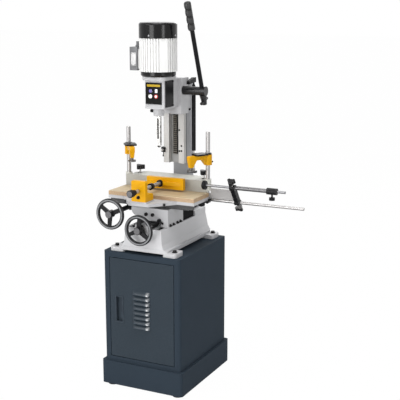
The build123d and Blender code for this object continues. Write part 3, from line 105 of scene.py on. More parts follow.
# Colours, and finishes for banded pieces as (colour, roughness, metal)
GREY = tint(180, 180, 182)
BLACK = tint(18, 18, 20)
STEEL = tint(176, 174, 173)
ROD = tint(132, 132, 134)
DOOR = tint(44, 53, 61)
WORN = tint(150, 150, 150)
GREY_FINISH = (GREY, 0.42, 0.0)
# Column grey, darker than the castings: painted shade on the column's sides
COLUMN_SHADE_FINISH = (tint(160, 161, 164), 0.36, 0.0)
BLACK_FINISH = (tint(17, 17, 19), 0.4, 0.0)
PLASTIC_FINISH = (BLACK, 0.45, 0.0)
STEEL_FINISH = (STEEL, 0.26, 1.0)
SLEEVE_FINISH = (tint(108, 107, 108), 0.36, 1.0)
WAY_FINISH = (tint(188, 187, 185), 0.42, 0.2)
# Band on the column side just behind the ways: painted shade and a painted reflection of the strut
SIDE_SHADE_FINISH = (tint(100, 102, 106), 0.32, 0.0)
# Fence: one paint, darker on its front face as painted shade and paler on the ledge as painted
# light
FENCE_FACE_SHADE = (tint(168, 167, 161), 0.4, 0.0)
FENCE_LEDGE_LIT = (tint(203, 203, 196), 0.45, 0.0)
# Saddle front 1.3 times paler than the castings: painted light where the table's shadow falls
SADDLE_FRONT_LIT = (shade(GREY, 1.3), 0.45, 0.0)
SADDLE_REST = (shade(GREY, 1.02), 0.42, 0.0)
# Table casting below the plate: painted shade under the table
UNDER_SHADE_FINISH = (tint(74, 74, 75), 0.5, 0.0)
# Rack: lighter tooth faces in front and a darker finish behind them, painted shade in the tooth
# gaps
RACK_TIP = (tint(112, 107, 98), 0.36, 1.0)
RACK_GAP_SHADE = (tint(52, 50, 46), 0.5, 1.0)

# Where finishes change: depths and heights in metres, layers of the board, slope of the link
BAND_BLUR = 0.0001
FACE_SKIN = 0.001
RACK_ROOT = 0.0965
SIDE_SHADE_DEEP = 0.032
PLATE_T = 0.015
STAR_T = 0.02
KNOB_UP = 0.0272
SLEEVE_FROM, SLEEVE_TO = 0.026, 0.047
STRUT_END = 0.01
STOP_HEAD = 0.012
BOARD_LAYERS = 10
LINK_WAY = Vector((0, -56, 79)).normalized()
# Right ends of the hoods: gloss rises over the first span, falls over the second, else is dull
GLINT_RISE, GLINT_FALL = (0.022, 0.034), (0.038, 0.044)
DULL = 0.08

# Lever grip: direction, distance from the hub, and form
HUB_AT = Vector((0.165, 0.054, 1.385))
GRIP_WAY = Vector((0, -sin(radians(20.6)), cos(radians(20.6))))
GRIP_START = 0.296
GRIP_L = 0.133
GRIP_R = 0.0145
GRIP_NECK = 0.0075
GRIP_END = 0.04
GRIP_SWELL = 0.0045
GRIP_SWELLS = 4

# Cross ways of the base, and the thin dark skin on them, painted shade under the saddle
RAIL_GAP = 0.0003
WAY_IN = 0.0145
WAY_RISE = 0.02
WAY_HALF = 0.048
WAY_FOOT = 0.036
WAY_SLOT = 0.0155
SHADE_FILM = (0.00005, 0.0002)
SHADE_FILM_LEAN = 1.2

# Dark mats in the pockets of the base: painted shade in the hollows
MAT_X, MAT_Y, MAT_DOWN = 0.065, -0.1545, 0.007
MAT_HALF = Vector((0.0126, 0.0541, 0.0015))
MAT_BEVEL = 0.0004

# Plinth corners: radius, height, and the strips in their seams
CABINET_R = 0.014
PLINTH_TOP = 0.126
SEAM_SKIN, SEAM_DEEP, SEAM_INSET = 0.00005, 0.0028, 0.0025
SEAM_FROM, SEAM_TURN, SEAM_STEPS = 34, 22, 6

# Louvres of the door, and their pressed hoods
LOUVRES = 8
LOUVRE_OUT = 0.007
LOUVRE_LOW = 0.3068
LOUVRE_PITCH = 0.0232
HOOD_HALF, HOOD_END, HOOD_OUT, HOOD_HIGH = 0.0455, 0.016, 0.0114, 0.0172
HOOD_WALL, HOOD_SINK = 0.0012, 0.0005
HOOD_ACROSS, HOOD_DOWN = 28, 8

# Profiles as (radius, height), with a third value for a hexagon; screws are for a radius of 1
CAP_SCREW = [(1, 0), (1, 0.98), (0.88, 1.1), (0.62, 1.1), (0.58, 1.08, 1), (0.58, 0.5, 1)]
PAN_SCREW = [(1, 0), (1, 0.2), (0.85, 0.5), (0.55, 0.62), (0.42, 0.62, 1), (0.42, 0.3, 1)]
NUT_SCREW = [(1.15, 0), (1.15, 0.12), (1, 0.12, 1), (1, 0.85, 1), (0.9, 0.95), (0.52, 0.95),
             (0.52, 1.7), (0.45, 1.8), (0.26, 1.8, 1), (0.26, 1.4, 1)]
FLUSH_SCREW = [(0.0048, 0), (0.0048, 0.00015), (0.0026, 0.00015, 1), (0.0025, 0.0001, 1)]
HUB_DISC = [(0.0152, 0), (0.0152, 0.001), (0.0142, 0.002), (0.004, 0.0022)]
JAW_RING = [(0.0166, 0), (0.0166, 0.007), (0.0158, 0.0078), (0.0093, 0.0078)]
LAMP_LENS = [(0.0085, 0), (0.0085, 0.002), (0.007, 0.0022), (0.0068, 0.004), (0.005, 0.0055),
             (0.0025, 0.0062)]
BUTTON_RIM = [(0.0125, 0), (0.0125, 0.0012), (0.0115, 0.002), (0.0098, 0.002), (0.0098, 0.0003)]
STOP_CAP = [(0.0062, 0), (0.0062, 0.0008), (0.0052, 0.0013), (0.002, 0.0015)]

LOOKS = {}


class Tree:
    """The node tree of a new finish, which goes into LOOKS, with short calls for its nodes."""

    def __init__(self, name):
        LOOKS[name] = bpy.data.materials.new(name)
        LOOKS[name].use_nodes = True
        self.nodes = LOOKS[name].node_tree.nodes
        self.links = LOOKS[name].node_tree.links
        self.shader = self.nodes["Principled BSDF"]
        self.place = self.add("ShaderNodeTexCoord").outputs["Object"]

    def add(self, kind, **values):
        """A node of a kind, with its properties or input values set."""
        node = self.nodes.new(kind)
        for key, value in values.items():
            if hasattr(node, key):
                setattr(node, key, value)
            else:
                node.inputs[key.replace("_", " ")].default_value = value
        return node

    def put(self, value, socket):
        """Sets a socket to a value, or links another socket to it."""
        if isinstance(value, bpy.types.NodeSocket):
            self.links.new(value, socket)
        else:
            socket.default_value = value

    def feed(self, name, value):
        """Sets an input of the shader, or links a socket to it."""
        self.put(value, self.shader.inputs[name])

    def noise(self, scale, detail=3.0, stretch=(1, 1, 1)):
        """Noise over the object, stretched along its axes."""
        mapping = self.add("ShaderNodeMapping", Scale=stretch)
        self.put(self.place, mapping.inputs["Vector"])
        noise = self.add("ShaderNodeTexNoise", Scale=scale, Detail=detail)
        self.put(mapping.outputs["Vector"], noise.inputs["Vector"])
        return noise.outputs["Fac"]

    def ramp(self, source, low, high, start=0.0, end=1.0):
        """A value mapped from one range to another and held inside it."""
        node = self.add("ShaderNodeMapRange", From_Min=low, From_Max=high, To_Min=start, To_Max=end)
        self.put(source, node.inputs["Value"])
        return node.outputs["Result"]

    def mix(self, factor, first, second):
        """A colour between two colours or sockets."""
        node = self.add("ShaderNodeMix", data_type="RGBA")
        self.put(factor, node.inputs["Factor"])
        self.put(first, node.inputs[6])
        self.put(second, node.inputs[7])
        return node.outputs[2]

    def math(self, operation, *values):
        """A calculation with values or sockets."""
        node = self.add("ShaderNodeMath", operation=operation)
        for value, socket in zip(values, node.inputs):
            self.put(value, socket)
        return node.outputs["Value"]

    def vector(self, operation, first, second):
        """Outputs of a vector calculation with values or sockets."""
        node = self.add("ShaderNodeVectorMath", operation=operation)
        self.put(first, node.inputs[0])
        self.put(second, node.inputs[1])
        return node.outputs

    def axis(self, letter, source=None):
        """One coordinate of a place or direction."""
        node = self.add("ShaderNodeSeparateXYZ")
        self.put(source or self.place, node.inputs["Vector"])
        return node.outputs[letter]

    def along(self, way):
        """How far a place lies along a direction."""
        return self.vector("DOT_PRODUCT", self.place, way)["Value"]

    def soft_normal(self, radius):
        """Normal that turns over an edge as if it were rounded."""
        return self.add("ShaderNodeBevel", Radius=radius, samples=4).outputs["Normal"]

    def edges(self, radius, low=0.02, high=0.25):
        """How close a point is to an outer or inner edge, from 0 to 1."""
        true = self.add("ShaderNodeNewGeometry").outputs["Normal"]
        dot = self.vector("DOT_PRODUCT", self.soft_normal(radius), true)["Value"]
        return self.ramp(dot, 1 - low, 1 - high)

    def bump(self, height, strength, depth, edge):
        """Surface relief over edges that catch light as if they were rounded."""
        node = self.add("ShaderNodeBump", Strength=strength, Distance=depth)
        self.put(height, node.inputs["Height"])
        self.put(self.soft_normal(edge), node.inputs["Normal"])
        self.feed("Normal", node.outputs["Normal"])

    def grain(self, scale, rough, strength, depth, edge):
        """Fine specks that spread the roughness over a range and raise the surface."""
        speck = self.noise(scale, detail=2.0)
        self.feed("Roughness", self.ramp(speck, 0.3, 0.7, *rough))
        self.bump(speck, strength, depth, edge)
        return speck


def paint(name, colour, rough, grain, scale, spread=0.07, coat=0.0, wear_and_highlight=1.25, gloss=0.5):
    """Sprayed paint: faint clouding, fine relief and paler edges, from wear and, where they are
    lifted strongly, a painted highlight.
    """
    tree = Tree(name)
    cloud = tree.noise(9.0, detail=5.0)
    base = tree.mix(cloud, shade(colour, 1 - spread), shade(colour, 1 + spread))
    tree.feed("Base Color", tree.mix(tree.edges(radius=0.0015), base, shade(colour, wear_and_highlight)))
    tree.grain(scale, (rough - 0.07, rough + 0.07), grain, depth=0.0006, edge=0.0012)
    tree.feed("Specular IOR Level", gloss)
    tree.feed("Coat Weight", coat)
    tree.feed("Coat Roughness", 0.15)


def hood_paint(name, colour):
    """Paint of the pressed hoods, with a thick glossy coat on their right ends and painted
    highlights on their edges.
    """
    tree = Tree(name)
    across = tree.axis("X")
    rise = tree.ramp(across, *GLINT_RISE, DULL, 1.0)
    fall = tree.ramp(across, *GLINT_FALL, 1.0, DULL)
    shine = tree.math("MULTIPLY", rise, fall)
    tree.feed("Specular IOR Level", shine)
    tree.feed("Coat Weight", shine)
    tree.feed("Coat IOR", 2.4)
    tree.feed("Coat Roughness", 0.3)
    # Edges 4.5 times paler: painted highlights along the hood edges
    tree.feed("Base Color", tree.mix(tree.edges(radius=0.0012), colour, shade(colour, 4.5)))
    tree.feed("Roughness", tree.ramp(tree.noise(700.0, detail=2.0), 0.3, 0.7, 0.2, 0.3))


def plastic(name, colour, rough, grain=0.12, scale=1400.0, gloss=0.3):
    """Moulded plastic or rubber with a fine grain and a little dust."""
    tree = Tree(name)
    dust = tree.ramp(tree.noise(28.0, detail=6.0), 0.45, 0.8)
    tree.feed("Base Color", tree.mix(dust, colour, shade(colour, 1.5)))
    tree.grain(scale, (rough - 0.06, rough + 0.08), grain, depth=0.0004, edge=0.0008)
    tree.feed("Specular IOR Level", gloss)


def grip_finish(name, low, high):
    """Rubber with painted shade: darker in the grooves between the finger swells."""
    tree = Tree(name)
    begin = GRIP_WAY.dot(HUB_AT) + GRIP_START
    phase = tree.ramp(tree.along(GRIP_WAY), begin, begin + GRIP_L, 0.0, pi * GRIP_SWELLS)
    height = tree.math("ABSOLUTE", tree.math("SINE", phase))
    # Darker between the swells: painted shade in the grooves
    tree.feed("Base Color", tree.mix(tree.ramp(height, 0.2, 0.8), low, high))
    tree.grain(1100.0, (0.3, 0.44), 0.3, depth=0.0004, edge=0.0008)
    tree.feed("Specular IOR Level", 0.3)


def metal(name, colour, rough, stretch, wear_and_highlight=1.1, spread=0.11):
    """Turned or ground metal with tool marks across the stretch direction."""
    tree = Tree(name)
    tree.feed("Metallic", 1.0)
    marks = tree.noise(420.0, 3.0, stretch)
    cloud = tree.noise(14.0, detail=4.0)
    base = tree.mix(cloud, shade(colour, 0.97 - spread), shade(colour, 0.97 + spread))
    tree.feed("Base Color", tree.mix(tree.edges(radius=0.0008), base, shade(colour, wear_and_highlight)))
    tree.feed("Roughness", tree.ramp(marks, 0.25, 0.75, rough - 0.08, rough + 0.1))
    tree.bump(marks, 0.04, depth=0.0003, edge=0.0006)


def banded(name, way, ends, finishes):
    """Finishes along a direction, parted at rising places: (colour, roughness, metal) each."""
    tree = Tree(name)
    far = tree.along(way)
    sides = [tree.ramp(far, end - BAND_BLUR, end + BAND_BLUR) for end in ends]
    colours, roughs, metals = zip(*finishes)
    cloud = tree.noise(11.0, detail=5.0)
    speck = tree.noise(300.0, detail=2.0)
    tones = [tree.mix(cloud, shade(colour, 0.92), shade(colour, 1.06)) for colour in colours]
    tone, share = tones[0], metals[0]
    grade = tree.ramp(speck, 0.2, 0.8, roughs[0] - 0.06, roughs[0] + 0.06)
    for k, side in enumerate(sides):
        tone = tree.mix(side, tone, tones[k + 1])
        grade = tree.math("MULTIPLY_ADD", side, roughs[k + 1] - roughs[k], grade)
        if len(set(metals)) > 1:
            share = tree.math("MULTIPLY_ADD", side, metals[k + 1] - metals[k], share)
    tree.feed("Base Color", tree.mix(tree.edges(0.0012, high=0.3), tone, WORN))
    tree.feed("Roughness", grade)
    tree.feed("Metallic", share)
    tree.feed("Specular IOR Level", 0.2)
    tree.bump(speck, 0.1, depth=0.0004, edge=0.001)


def wheel_finish(node):
    """Gloss hand wheel: dark edges and spokes, and a paler band round the rim as a painted
    highlight.
    """
    low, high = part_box(node)
    radius = (high.x - low.x) / 2
    tree = Tree(node + "_gloss")
    flat = tree.vector("MULTIPLY", tree.place, (1, 0, 1))["Vector"]
    centre = ((low.x + high.x) / 2, 0, (low.z + high.z) / 2)
    span = tree.vector("DISTANCE", flat, centre)["Value"]
    inner = tree.ramp(span, 0.83 * radius, 0.855 * radius)
    outer = tree.ramp(span, 0.92 * radius, 0.945 * radius, 1.0, 0.0)
    cloud = tree.noise(24.0, detail=4.0)
    dark = tree.mix(cloud, BLACK, tint(28, 28, 30))
    # Paler band: painted highlight on the front of the rim
    rim_highlight = tree.mix(cloud, tint(112, 113, 115), tint(136, 137, 139))
    tree.feed("Base Color", tree.mix(tree.math("MULTIPLY", inner, outer), dark, rim_highlight))
    tree.grain(420.0, (0.22, 0.34), 0.1, depth=0.0005, edge=0.0015)
    tree.feed("Specular IOR Level", 0.2)


def plywood(name, low, high):
    """Birch board: long grain on the faces, stacked layers and end grain on the edges."""
    tree = Tree(name)
    fibre = tree.noise(38.0, 6.0, stretch=(0.09, 1.6, 1.6))
    pores = tree.noise(520.0, 2.0, stretch=(0.05, 1.0, 1.0))
    face = tree.mix(tree.ramp(fibre, 0.3, 0.7), tint(162, 144, 114), tint(200, 182, 150))
    face = tree.mix(tree.ramp(pores, 0.55, 0.8, 0.0, 0.45), face, tint(128, 104, 82))
    layer = tree.math("PINGPONG", tree.ramp(tree.axis("Z"), low, high, 0.0, BOARD_LAYERS), 1.0)
    edge = tree.mix(tree.ramp(layer, 0.42, 0.58), tint(130, 92, 62), tint(208, 184, 148))
    ends = tree.ramp(tree.noise(900.0, detail=3.0), 0.5, 0.8, 0.0, 0.5)
    edge = tree.mix(ends, edge, tint(108, 84, 62))
    normal = tree.add("ShaderNodeNewGeometry").outputs["Normal"]
    flat = tree.ramp(tree.math("ABSOLUTE", tree.axis("Z", normal)), 0.5, 0.6)
    tree.feed("Base Color", tree.mix(flat, edge, face))
    tree.feed("Roughness", tree.ramp(fibre, 0.3, 0.7, 0.42, 0.6))
    tree.bump(pores, 0.2, depth=0.0004, edge=0.0012)


def lamp(name, colour):
    """Clear domed lens over a coloured body."""
    tree = Tree(name)
    ripple = tree.grain(700.0, (0.08, 0.2), 0.05, depth=0.0003, edge=0.0004)
    tree.feed("Base Color", tree.mix(ripple, shade(colour, 0.8), shade(colour, 1.1)))
    tree.feed("Coat Weight", 1.0)


def front_banded(name, node, depth, finishes):
    """One finish on a node's front, to a depth, and another behind it."""
    banded(name, Y_AXIS, [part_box(node)[0].y + depth], finishes)


board_low, board_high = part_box("table_board")
rack_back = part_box("head_rack")[1].y
link_low, link_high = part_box("stop_link")
star_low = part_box("fence_knob_left")[1].z - STAR_T
top_knob = LINK_WAY.dot(middle_of("stop_rod_high")) + KNOB_UP
low_knob = -LINK_WAY.dot(middle_of("stop_rod_low")) + KNOB_UP
strut_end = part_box("strut_rod")[0].z + STRUT_END
sleeve = [link_low.x + SLEEVE_FROM, link_high.x - SLEEVE_TO]

paint("cabinet_paint", tint(46, 55, 64), 0.6, 0.3, 700.0, gloss=0.03)
# Door edges 3.2 times paler: painted highlights along the door and louvre edges
paint("door_paint", DOOR, 0.26, 0.15, 700.0, wear_and_highlight=3.2, gloss=0.14)
paint("casting_paint", GREY, 0.42, 0.3, 260.0, wear_and_highlight=1.12)
# Base: the casting paint made 1.1 times paler, painted light on the base
paint("base_paint_lit", shade(GREY, 1.1), 0.42, 0.3, 260.0, wear_and_highlight=1.08)
front_banded("fence_paint", "fence", FACE_SKIN, [FENCE_FACE_SHADE, FENCE_LEDGE_LIT])
front_banded("saddle_paint", "saddle", FACE_SKIN, [SADDLE_FRONT_LIT, SADDLE_REST])
hood_paint("hood_gloss", DOOR)
paint("bracket_paint", tint(156, 154, 153), 0.42, 0.2, 300.0, wear_and_highlight=1.1, gloss=0.2)
paint("amber_paint", tint(213, 155, 2), 0.36, 0.22, 240.0, coat=0.02, wear_and_highlight=1.2, gloss=0.15)
paint("strip_yellow", tint(188, 156, 38), 0.4, 0.06, 500.0, wear_and_highlight=1.05, gloss=0.15)
paint("motor_alloy", tint(226, 226, 225), 0.4, 0.12, 500.0, spread=0.04, wear_and_highlight=1.05)
paint("cowl_gloss", tint(11, 11, 12), 0.18, 0.05, 300.0, wear_and_highlight=1.5, gloss=0.25)
paint("black_metal", tint(20, 20, 22), 0.36, 0.2, 420.0, wear_and_highlight=1.9, gloss=0.12)
paint("black_gloss", tint(12, 12, 14), 0.3, 0.08, 420.0, wear_and_highlight=1.6)
wheel_finish("y_wheel")
wheel_finish("x_wheel")
plastic("black_plastic", BLACK, 0.45, gloss=0.15)
plastic("box_plastic", tint(104, 105, 107), 0.42, 0.1)
# Door pull: a paler copy of the door colour, painted light in the cup
plastic("pull_plastic_lit", tint(51, 59, 67), 0.5, 0.1, gloss=0.1)
plastic("panel_black", tint(16, 17, 16), 0.45, 0.06, gloss=0.08)
grip_finish("grip_rubber", tint(20, 20, 21), tint(56, 56, 57))
plastic("foot_rubber", tint(26, 26, 27), 0.7, 0.4, 900.0, gloss=0.2)
plastic("button_white", tint(236, 236, 232), 0.3, 0.04)
plastic("button_red", tint(190, 40, 34), 0.3, 0.04)
plastic("plate_light", tint(196, 196, 196), 0.4, 0.08, gloss=0.1)
# Stop rods: one steel, darker on the upper rod as painted shade and paler on the lower as painted
# light
metal("steel_x", ROD, 0.36, (1.0, 0.02, 0.02))
metal("steel_x_lit", shade(STEEL, 0.84), 0.3, (1.0, 0.02, 0.02), spread=0.03)
metal("steel_y", STEEL, 0.28, (0.02, 1.0, 0.02))
metal("steel_z", tint(200, 199, 197), 0.3, (0.02, 0.02, 1.0))
metal("post_steel", tint(174, 172, 171), 0.42, (0.02, 0.02, 1.0))
metal("dark_steel", tint(104, 103, 102), 0.4, (0.3, 0.3, 1.0))
banded("rack_steel", Y_AXIS, [RACK_ROOT], [RACK_TIP, RACK_GAP_SHADE])
paint("hub_grey", tint(98, 97, 99), 0.4, 0.2, 500.0, spread=0.14, wear_and_highlight=1.3, gloss=0.25)
metal("zinc", tint(150, 150, 152), 0.42, (1.0, 1.0, 1.0))
metal("black_oxide", tint(48, 47, 47), 0.45, (1.0, 1.0, 1.0), wear_and_highlight=1.8)
plywood("birch", board_low.z, board_high.z)
lamp("lamp_blue", tint(92, 82, 158))
lamp("lamp_clear", tint(236, 238, 244))
# Column: ways in front, then a band of painted shade, then the column grey darkened as painted
# shade
banded("column_ways", Y_AXIS, [rack_back, rack_back + SIDE_SHADE_DEEP],
       [WAY_FINISH, SIDE_SHADE_FINISH, COLUMN_SHADE_FINISH])
# Table casting: dark below the plate as painted shade, grey above
banded("table_paint", Z_AXIS, [board_low.z - PLATE_T], [UNDER_SHADE_FINISH, GREY_FINISH])
banded("fence_star", Z_AXIS, [star_low], [STEEL_FINISH, PLASTIC_FINISH])
banded("top_star", LINK_WAY, [top_knob], [STEEL_FINISH, PLASTIC_FINISH])
banded("low_star", -LINK_WAY, [low_knob], [STEEL_FINISH, PLASTIC_FINISH])
banded("link_finish", X_AXIS, sleeve, [BLACK_FINISH, SLEEVE_FINISH, BLACK_FINISH])
banded("strut_finish", Z_AXIS, [strut_end], [BLACK_FINISH, STEEL_FINISH])
front_banded("stop_finish", "depth_stop", STOP_HEAD, [STEEL_FINISH, BLACK_FINISH])

# Finish of each carried-over solid
NODE_LOOKS = {
    "cabinet_paint": ["cabinet_shell"],
    "door_paint": ["cabinet_door"],
    "foot_rubber": ["rubber_feet"],
    "casting_paint": ["head_casting", "chisel_bush"],
    "base_paint_lit": ["base_casting"],
    "saddle_paint": ["saddle"],
    "table_paint": ["table_casting"],
    "fence_paint": ["fence"],
    "bracket_paint": ["stop_bracket"],
    "amber_paint": ["vise_body", "vise_jaw", "hold_arm_left", "hold_arm_right"],
    "motor_alloy": ["motor_body"],
    "cowl_gloss": ["motor_covers"],
    "black_metal": ["lever_arm", "strut_tube", "saddle_lock", "side_cover", "x_shaft",
                    "vise_collar", "hold_collar_left", "hold_collar_right"],
    "black_gloss": ["lever_hub"],
    "y_wheel_gloss": ["y_wheel"],
    "x_wheel_gloss": ["x_wheel"],
    "black_plastic": ["stop_thumb", "stop_disc", "table_handles", "vise_knob", "bush_screw"],
    "box_plastic": ["switch_box"],
    "pull_plastic_lit": ["door_pull"],
    "panel_black": ["control_panel"],
    "button_white": ["start_button"],
    "button_red": ["stop_button"],
    "steel_x": ["stop_rod_high"],
    "steel_x_lit": ["stop_rod_low"],
    "steel_y": ["y_screw"],
    "steel_z": ["chisel", "rotor"],
    "post_steel": ["fence_posts"],
    "dark_steel": ["hold_pad_left", "hold_pad_right"],
    "rack_steel": ["head_rack"],
    "black_oxide": ["frame_bolts"],
    "birch": ["table_board"],
    "column_ways": ["column"],
    "fence_star": ["fence_knob_left", "fence_knob_right"],
    "top_star": ["link_knob_top"],
    "low_star": ["link_knob_low"],
    "link_finish": ["stop_link"],
    "strut_finish": ["strut_rod"],
    "stop_finish": ["depth_stop"],
}

for look, names in NODE_LOOKS.items():
    for node_name in names:
        for node_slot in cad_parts[node_name].material_slots:
            node_slot.material = LOOKS[look]


def piece(name, bm, body, look, crease=35):
    """A finished piece from a bmesh: shading, finish and the body that it rides on."""
    mesh = bpy.data.meshes.new(name)
    bmesh.ops.recalc_face_normals(bm, faces=bm.faces)
    bm.to_mesh(mesh)
    bm.free()
    mesh.materials.append(LOOKS[look])
    mesh.shade_smooth()
    mesh.set_sharp_from_angle(angle=radians(crease))
    made = bpy.data.objects.new(name, mesh)
    bpy.context.scene.collection.objects.link(made)
    if body:
        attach(made, body)
    return made


def tube(bm, rows, ends=True):
    """Faces between closed rows of vertices, and over the first and last row."""
    for low, high in zip(rows, rows[1:]):
        for k in range(len(low)):
            bm.faces.new((low[k - 1], low[k], high[k], high[k - 1]))
    if ends:
        bm.faces.new(reversed(rows[0]))
        bm.faces.new(rows[-1])


def sheet(bm, rows):
    """Faces between open rows of vertices."""
    for a, b in zip(rows, rows[1:]):
        for k in range(len(a) - 1):
            bm.faces.new((a[k], a[k + 1], b[k + 1], b[k]))


def shell(bm, outer, inner):
    """Two sheets of the same layout, joined along their borders."""
    sheet(bm, outer)
    sheet(bm, inner)
    for end in (0, -1):
        sheet(bm, [outer[end], inner[end]])
        sheet(bm, [[row[end] for row in outer], [row[end] for row in inner]])


def six(radius, angle):
    """Distance to the flat of a hexagon, given its corner radius."""
    return radius * cos(pi / 6) / cos(angle % (pi / 3) - pi / 6)


def placed(at, axis):
    """Matrix that moves a form from the Z axis to a place and direction."""
    return Matrix.Translation(at) @ Z_AXIS.rotation_difference(axis).to_matrix().to_4x4()


def circle(bm, place, height, radii):
    """Vertices round the axis of a place, at a radius each."""
    row = []
    for k, r in enumerate(radii):
        a = 2 * pi * k / len(radii)
        row.append(bm.verts.new(place @ Vector((r * cos(a), r * sin(a), height))))
    return row


def turned(bm, profile, at, axis, steps=24):
    """A turned form: (radius, height) points round an axis, with a third value for a hexagon."""
    place = placed(at, axis)
    rows = []
    for radius, height, *flats in profile:
        radii = [six(radius, 2 * pi * k / steps) if flats else radius for k in range(steps)]
        rows.append(circle(bm, place, height, radii))
    tube(bm, rows)


def ring(bm, profile, at, axis, steps=32):
    """A turned ring, closed along its profile, with an open middle."""
    place = placed(at, axis)
    rows = []
    for radius, height in profile + [(profile[-1][0], profile[0][1])]:
        rows.append(circle(bm, place, height, [radius] * steps))
    tube(bm, rows + rows[:1], ends=False)


def groove(phase):
    """Share of a thread's depth at a phase of its turn, with flat crests and roots."""
    return min(1.0, max(0.0, 3.2 * abs(phase - 0.5) - 0.3))


def threaded(bm, at, axis, length, radius, pitch, depth, steps=20, per_turn=6):
    """A bar with a helical thread."""
    place = placed(at, axis)
    count = round(length / pitch * per_turn)
    rows = []
    for i in range(count + 1):
        h = length * i / count
        phases = [(h / pitch - k / steps) % 1.0 for k in range(steps)]
        rows.append(circle(bm, place, h, [radius - depth * groove(p) for p in phases]))
    tube(bm, rows)


def scaled(profile, r):
    """A screw's profile for a radius."""
    return [(r * radius, r * height, *flats) for radius, height, *flats in profile]


def turnings(name, body, profile, places, axis, look="black_oxide"):
    """One piece with the same turned form at several places."""
    bm = bmesh.new()
    for at in places:
        turned(bm, profile, Vector(at), axis)
    return piece(name, bm, body, look)


def slab(bm, low, high, bevel):
    """A block between two corners with rounded edges."""
    size = Vector(high) - Vector(low)
    middle = (Vector(high) + Vector(low)) / 2
    place = Matrix.Translation(middle) @ Matrix.Diagonal((*size, 1))
    made = bmesh.ops.create_cube(bm, size=1.0, matrix=place)
    edges = {e for v in made["verts"] for e in v.link_edges}
    bmesh.ops.bevel(bm, geom=list(edges), offset=bevel, segments=3, profile=0.5, affect="EDGES")


def plinth_corners():
    """Rounded strips that close the corner seams of the plinth."""
    low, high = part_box("cabinet_shell")
    arc = [radians(SEAM_FROM + SEAM_TURN * k / SEAM_STEPS) for k in range(SEAM_STEPS + 1)]
    section = [(CABINET_R - SEAM_SKIN, a) for a in arc]
    section += [(CABINET_R - SEAM_DEEP, a) for a in reversed(arc)]
    bm = bmesh.new()
    for sx, sy in ((1, 1), (-1, 1), (-1, -1), (1, -1)):
        x, y = sx * (high.x - CABINET_R), sy * (high.y - CABINET_R)
        tube(bm, [[bm.verts.new((x + sx * r * cos(a), y + sy * r * sin(a), z)) for r, a in section]
                  for z in (low.z + SEAM_INSET, PLINTH_TOP - SEAM_INSET)])
    piece("plinth_corners", bm, "stand", "cabinet_paint")


def hood_skin(bm, face, low, inset):
    """Rows of one skin of a hood: a bulge that grows to an open lip at its lower edge."""
    rows = []
    for j in range(HOOD_DOWN + 1):
        v = j / HOOD_DOWN
        row = []
        for i in range(HOOD_ACROSS + 1):
            x = -HOOD_HALF * cos(pi * i / HOOD_ACROSS)
            past = max(0.0, abs(x) - (HOOD_HALF - HOOD_END)) / HOOD_END
            bulge = HOOD_OUT * max(0.0, 1 - past ** 2) ** 0.5 * sin(pi * v / 2)
            y = face - max(bulge - inset, -HOOD_SINK * inset / HOOD_WALL)
            row.append(bm.verts.new((x, y, low + HOOD_HIGH * (1 - v))))
        rows.append(row)
    return rows


def louvre_hoods():
    """Pressed hoods with rounded ends over the louvres of the door."""
    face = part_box("cabinet_door")[0].y + LOUVRE_OUT
    bm = bmesh.new()
    for k in range(LOUVRES):
        low = LOUVRE_LOW + k * LOUVRE_PITCH
        shell(bm, hood_skin(bm, face, low, 0.0), hood_skin(bm, face, low, HOOD_WALL))
    piece("louvre_hoods", bm, "door", "hood_gloss", crease=60)


def pocket_shade_mats():
    """Dark mats in the two pockets of the base beside the front ways: painted shade in the hollows.
    """
    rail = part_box("bellows")[0].z
    bm = bmesh.new()
    for _, side in SIDES:
        middle = Vector((side * MAT_X, MAT_Y, rail - MAT_DOWN))
        slab(bm, middle - MAT_HALF, middle + MAT_HALF, MAT_BEVEL)
    piece("pocket_shade_mats", bm, "stand", "foot_rubber")


def way_shade_skin():
    """Thin dark skin on the top and sides of the cross ways: painted shade under the saddle."""
    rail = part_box("bellows")[0].z - RAIL_GAP
    front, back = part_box("base_casting")[0].y + WAY_IN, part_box("saddle")[1].y
    top = rail + WAY_RISE
    under, over = ([(WAY_SLOT, top + film), (WAY_HALF + film, top + film),
                    (WAY_FOOT + SHADE_FILM_LEAN * film, rail)] for film in SHADE_FILM)
    section = under + over[::-1]
    bm = bmesh.new()
    for _, side in SIDES:
        tube(bm, [[bm.verts.new((side * x, y, z)) for x, z in section] for y in (front, back)])
    piece("way_shade_skin", bm, "stand", "black_oxide")


def saddle_fittings():
    """Cap screws on the saddle front, gib screws with lock nuts on its right side."""
    cap_r, cap_z = 0.008, 0.8325
    gib_r, gib_z = 0.0065, 0.7858
    low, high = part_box("saddle")
    caps = [(x, low.y, cap_z) for x in (-0.0164, 0.0176)]
    turnings("saddle_cap_screws", "saddle", scaled(CAP_SCREW, cap_r), caps, FRONT)
    gib = [(high.x, low.y + y, gib_z) for y in (0.021, 0.052, 0.09, 0.12)]
    turnings("saddle_gib_screws", "saddle", scaled(NUT_SCREW, gib_r), gib, X_AXIS)


def table_fittings():
    """Screws of the tongue's slanted edges and of the vise."""
    tongue_r, tongue_x, tongue_out = 0.0057, 0.0984, 0.051
    lock_r, lock_up = 0.007, 0.02
    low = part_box("table_board")[0]
    for name, side in SIDES:
        at = (side * tongue_x, low.y - tongue_out, low.z - 0.6 * PLATE_T)
        slant = Vector((0.773 * side, -0.634, 0))
        turnings("tongue_screw_" + name, "table", scaled(CAP_SCREW, tongue_r), [at], slant)
    vise_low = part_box("vise_body")[0]
    at = (0, vise_low.y, vise_low.z + lock_up)
    turnings("vise_lock_screw", "table", scaled(NUT_SCREW, lock_r), [at], FRONT)


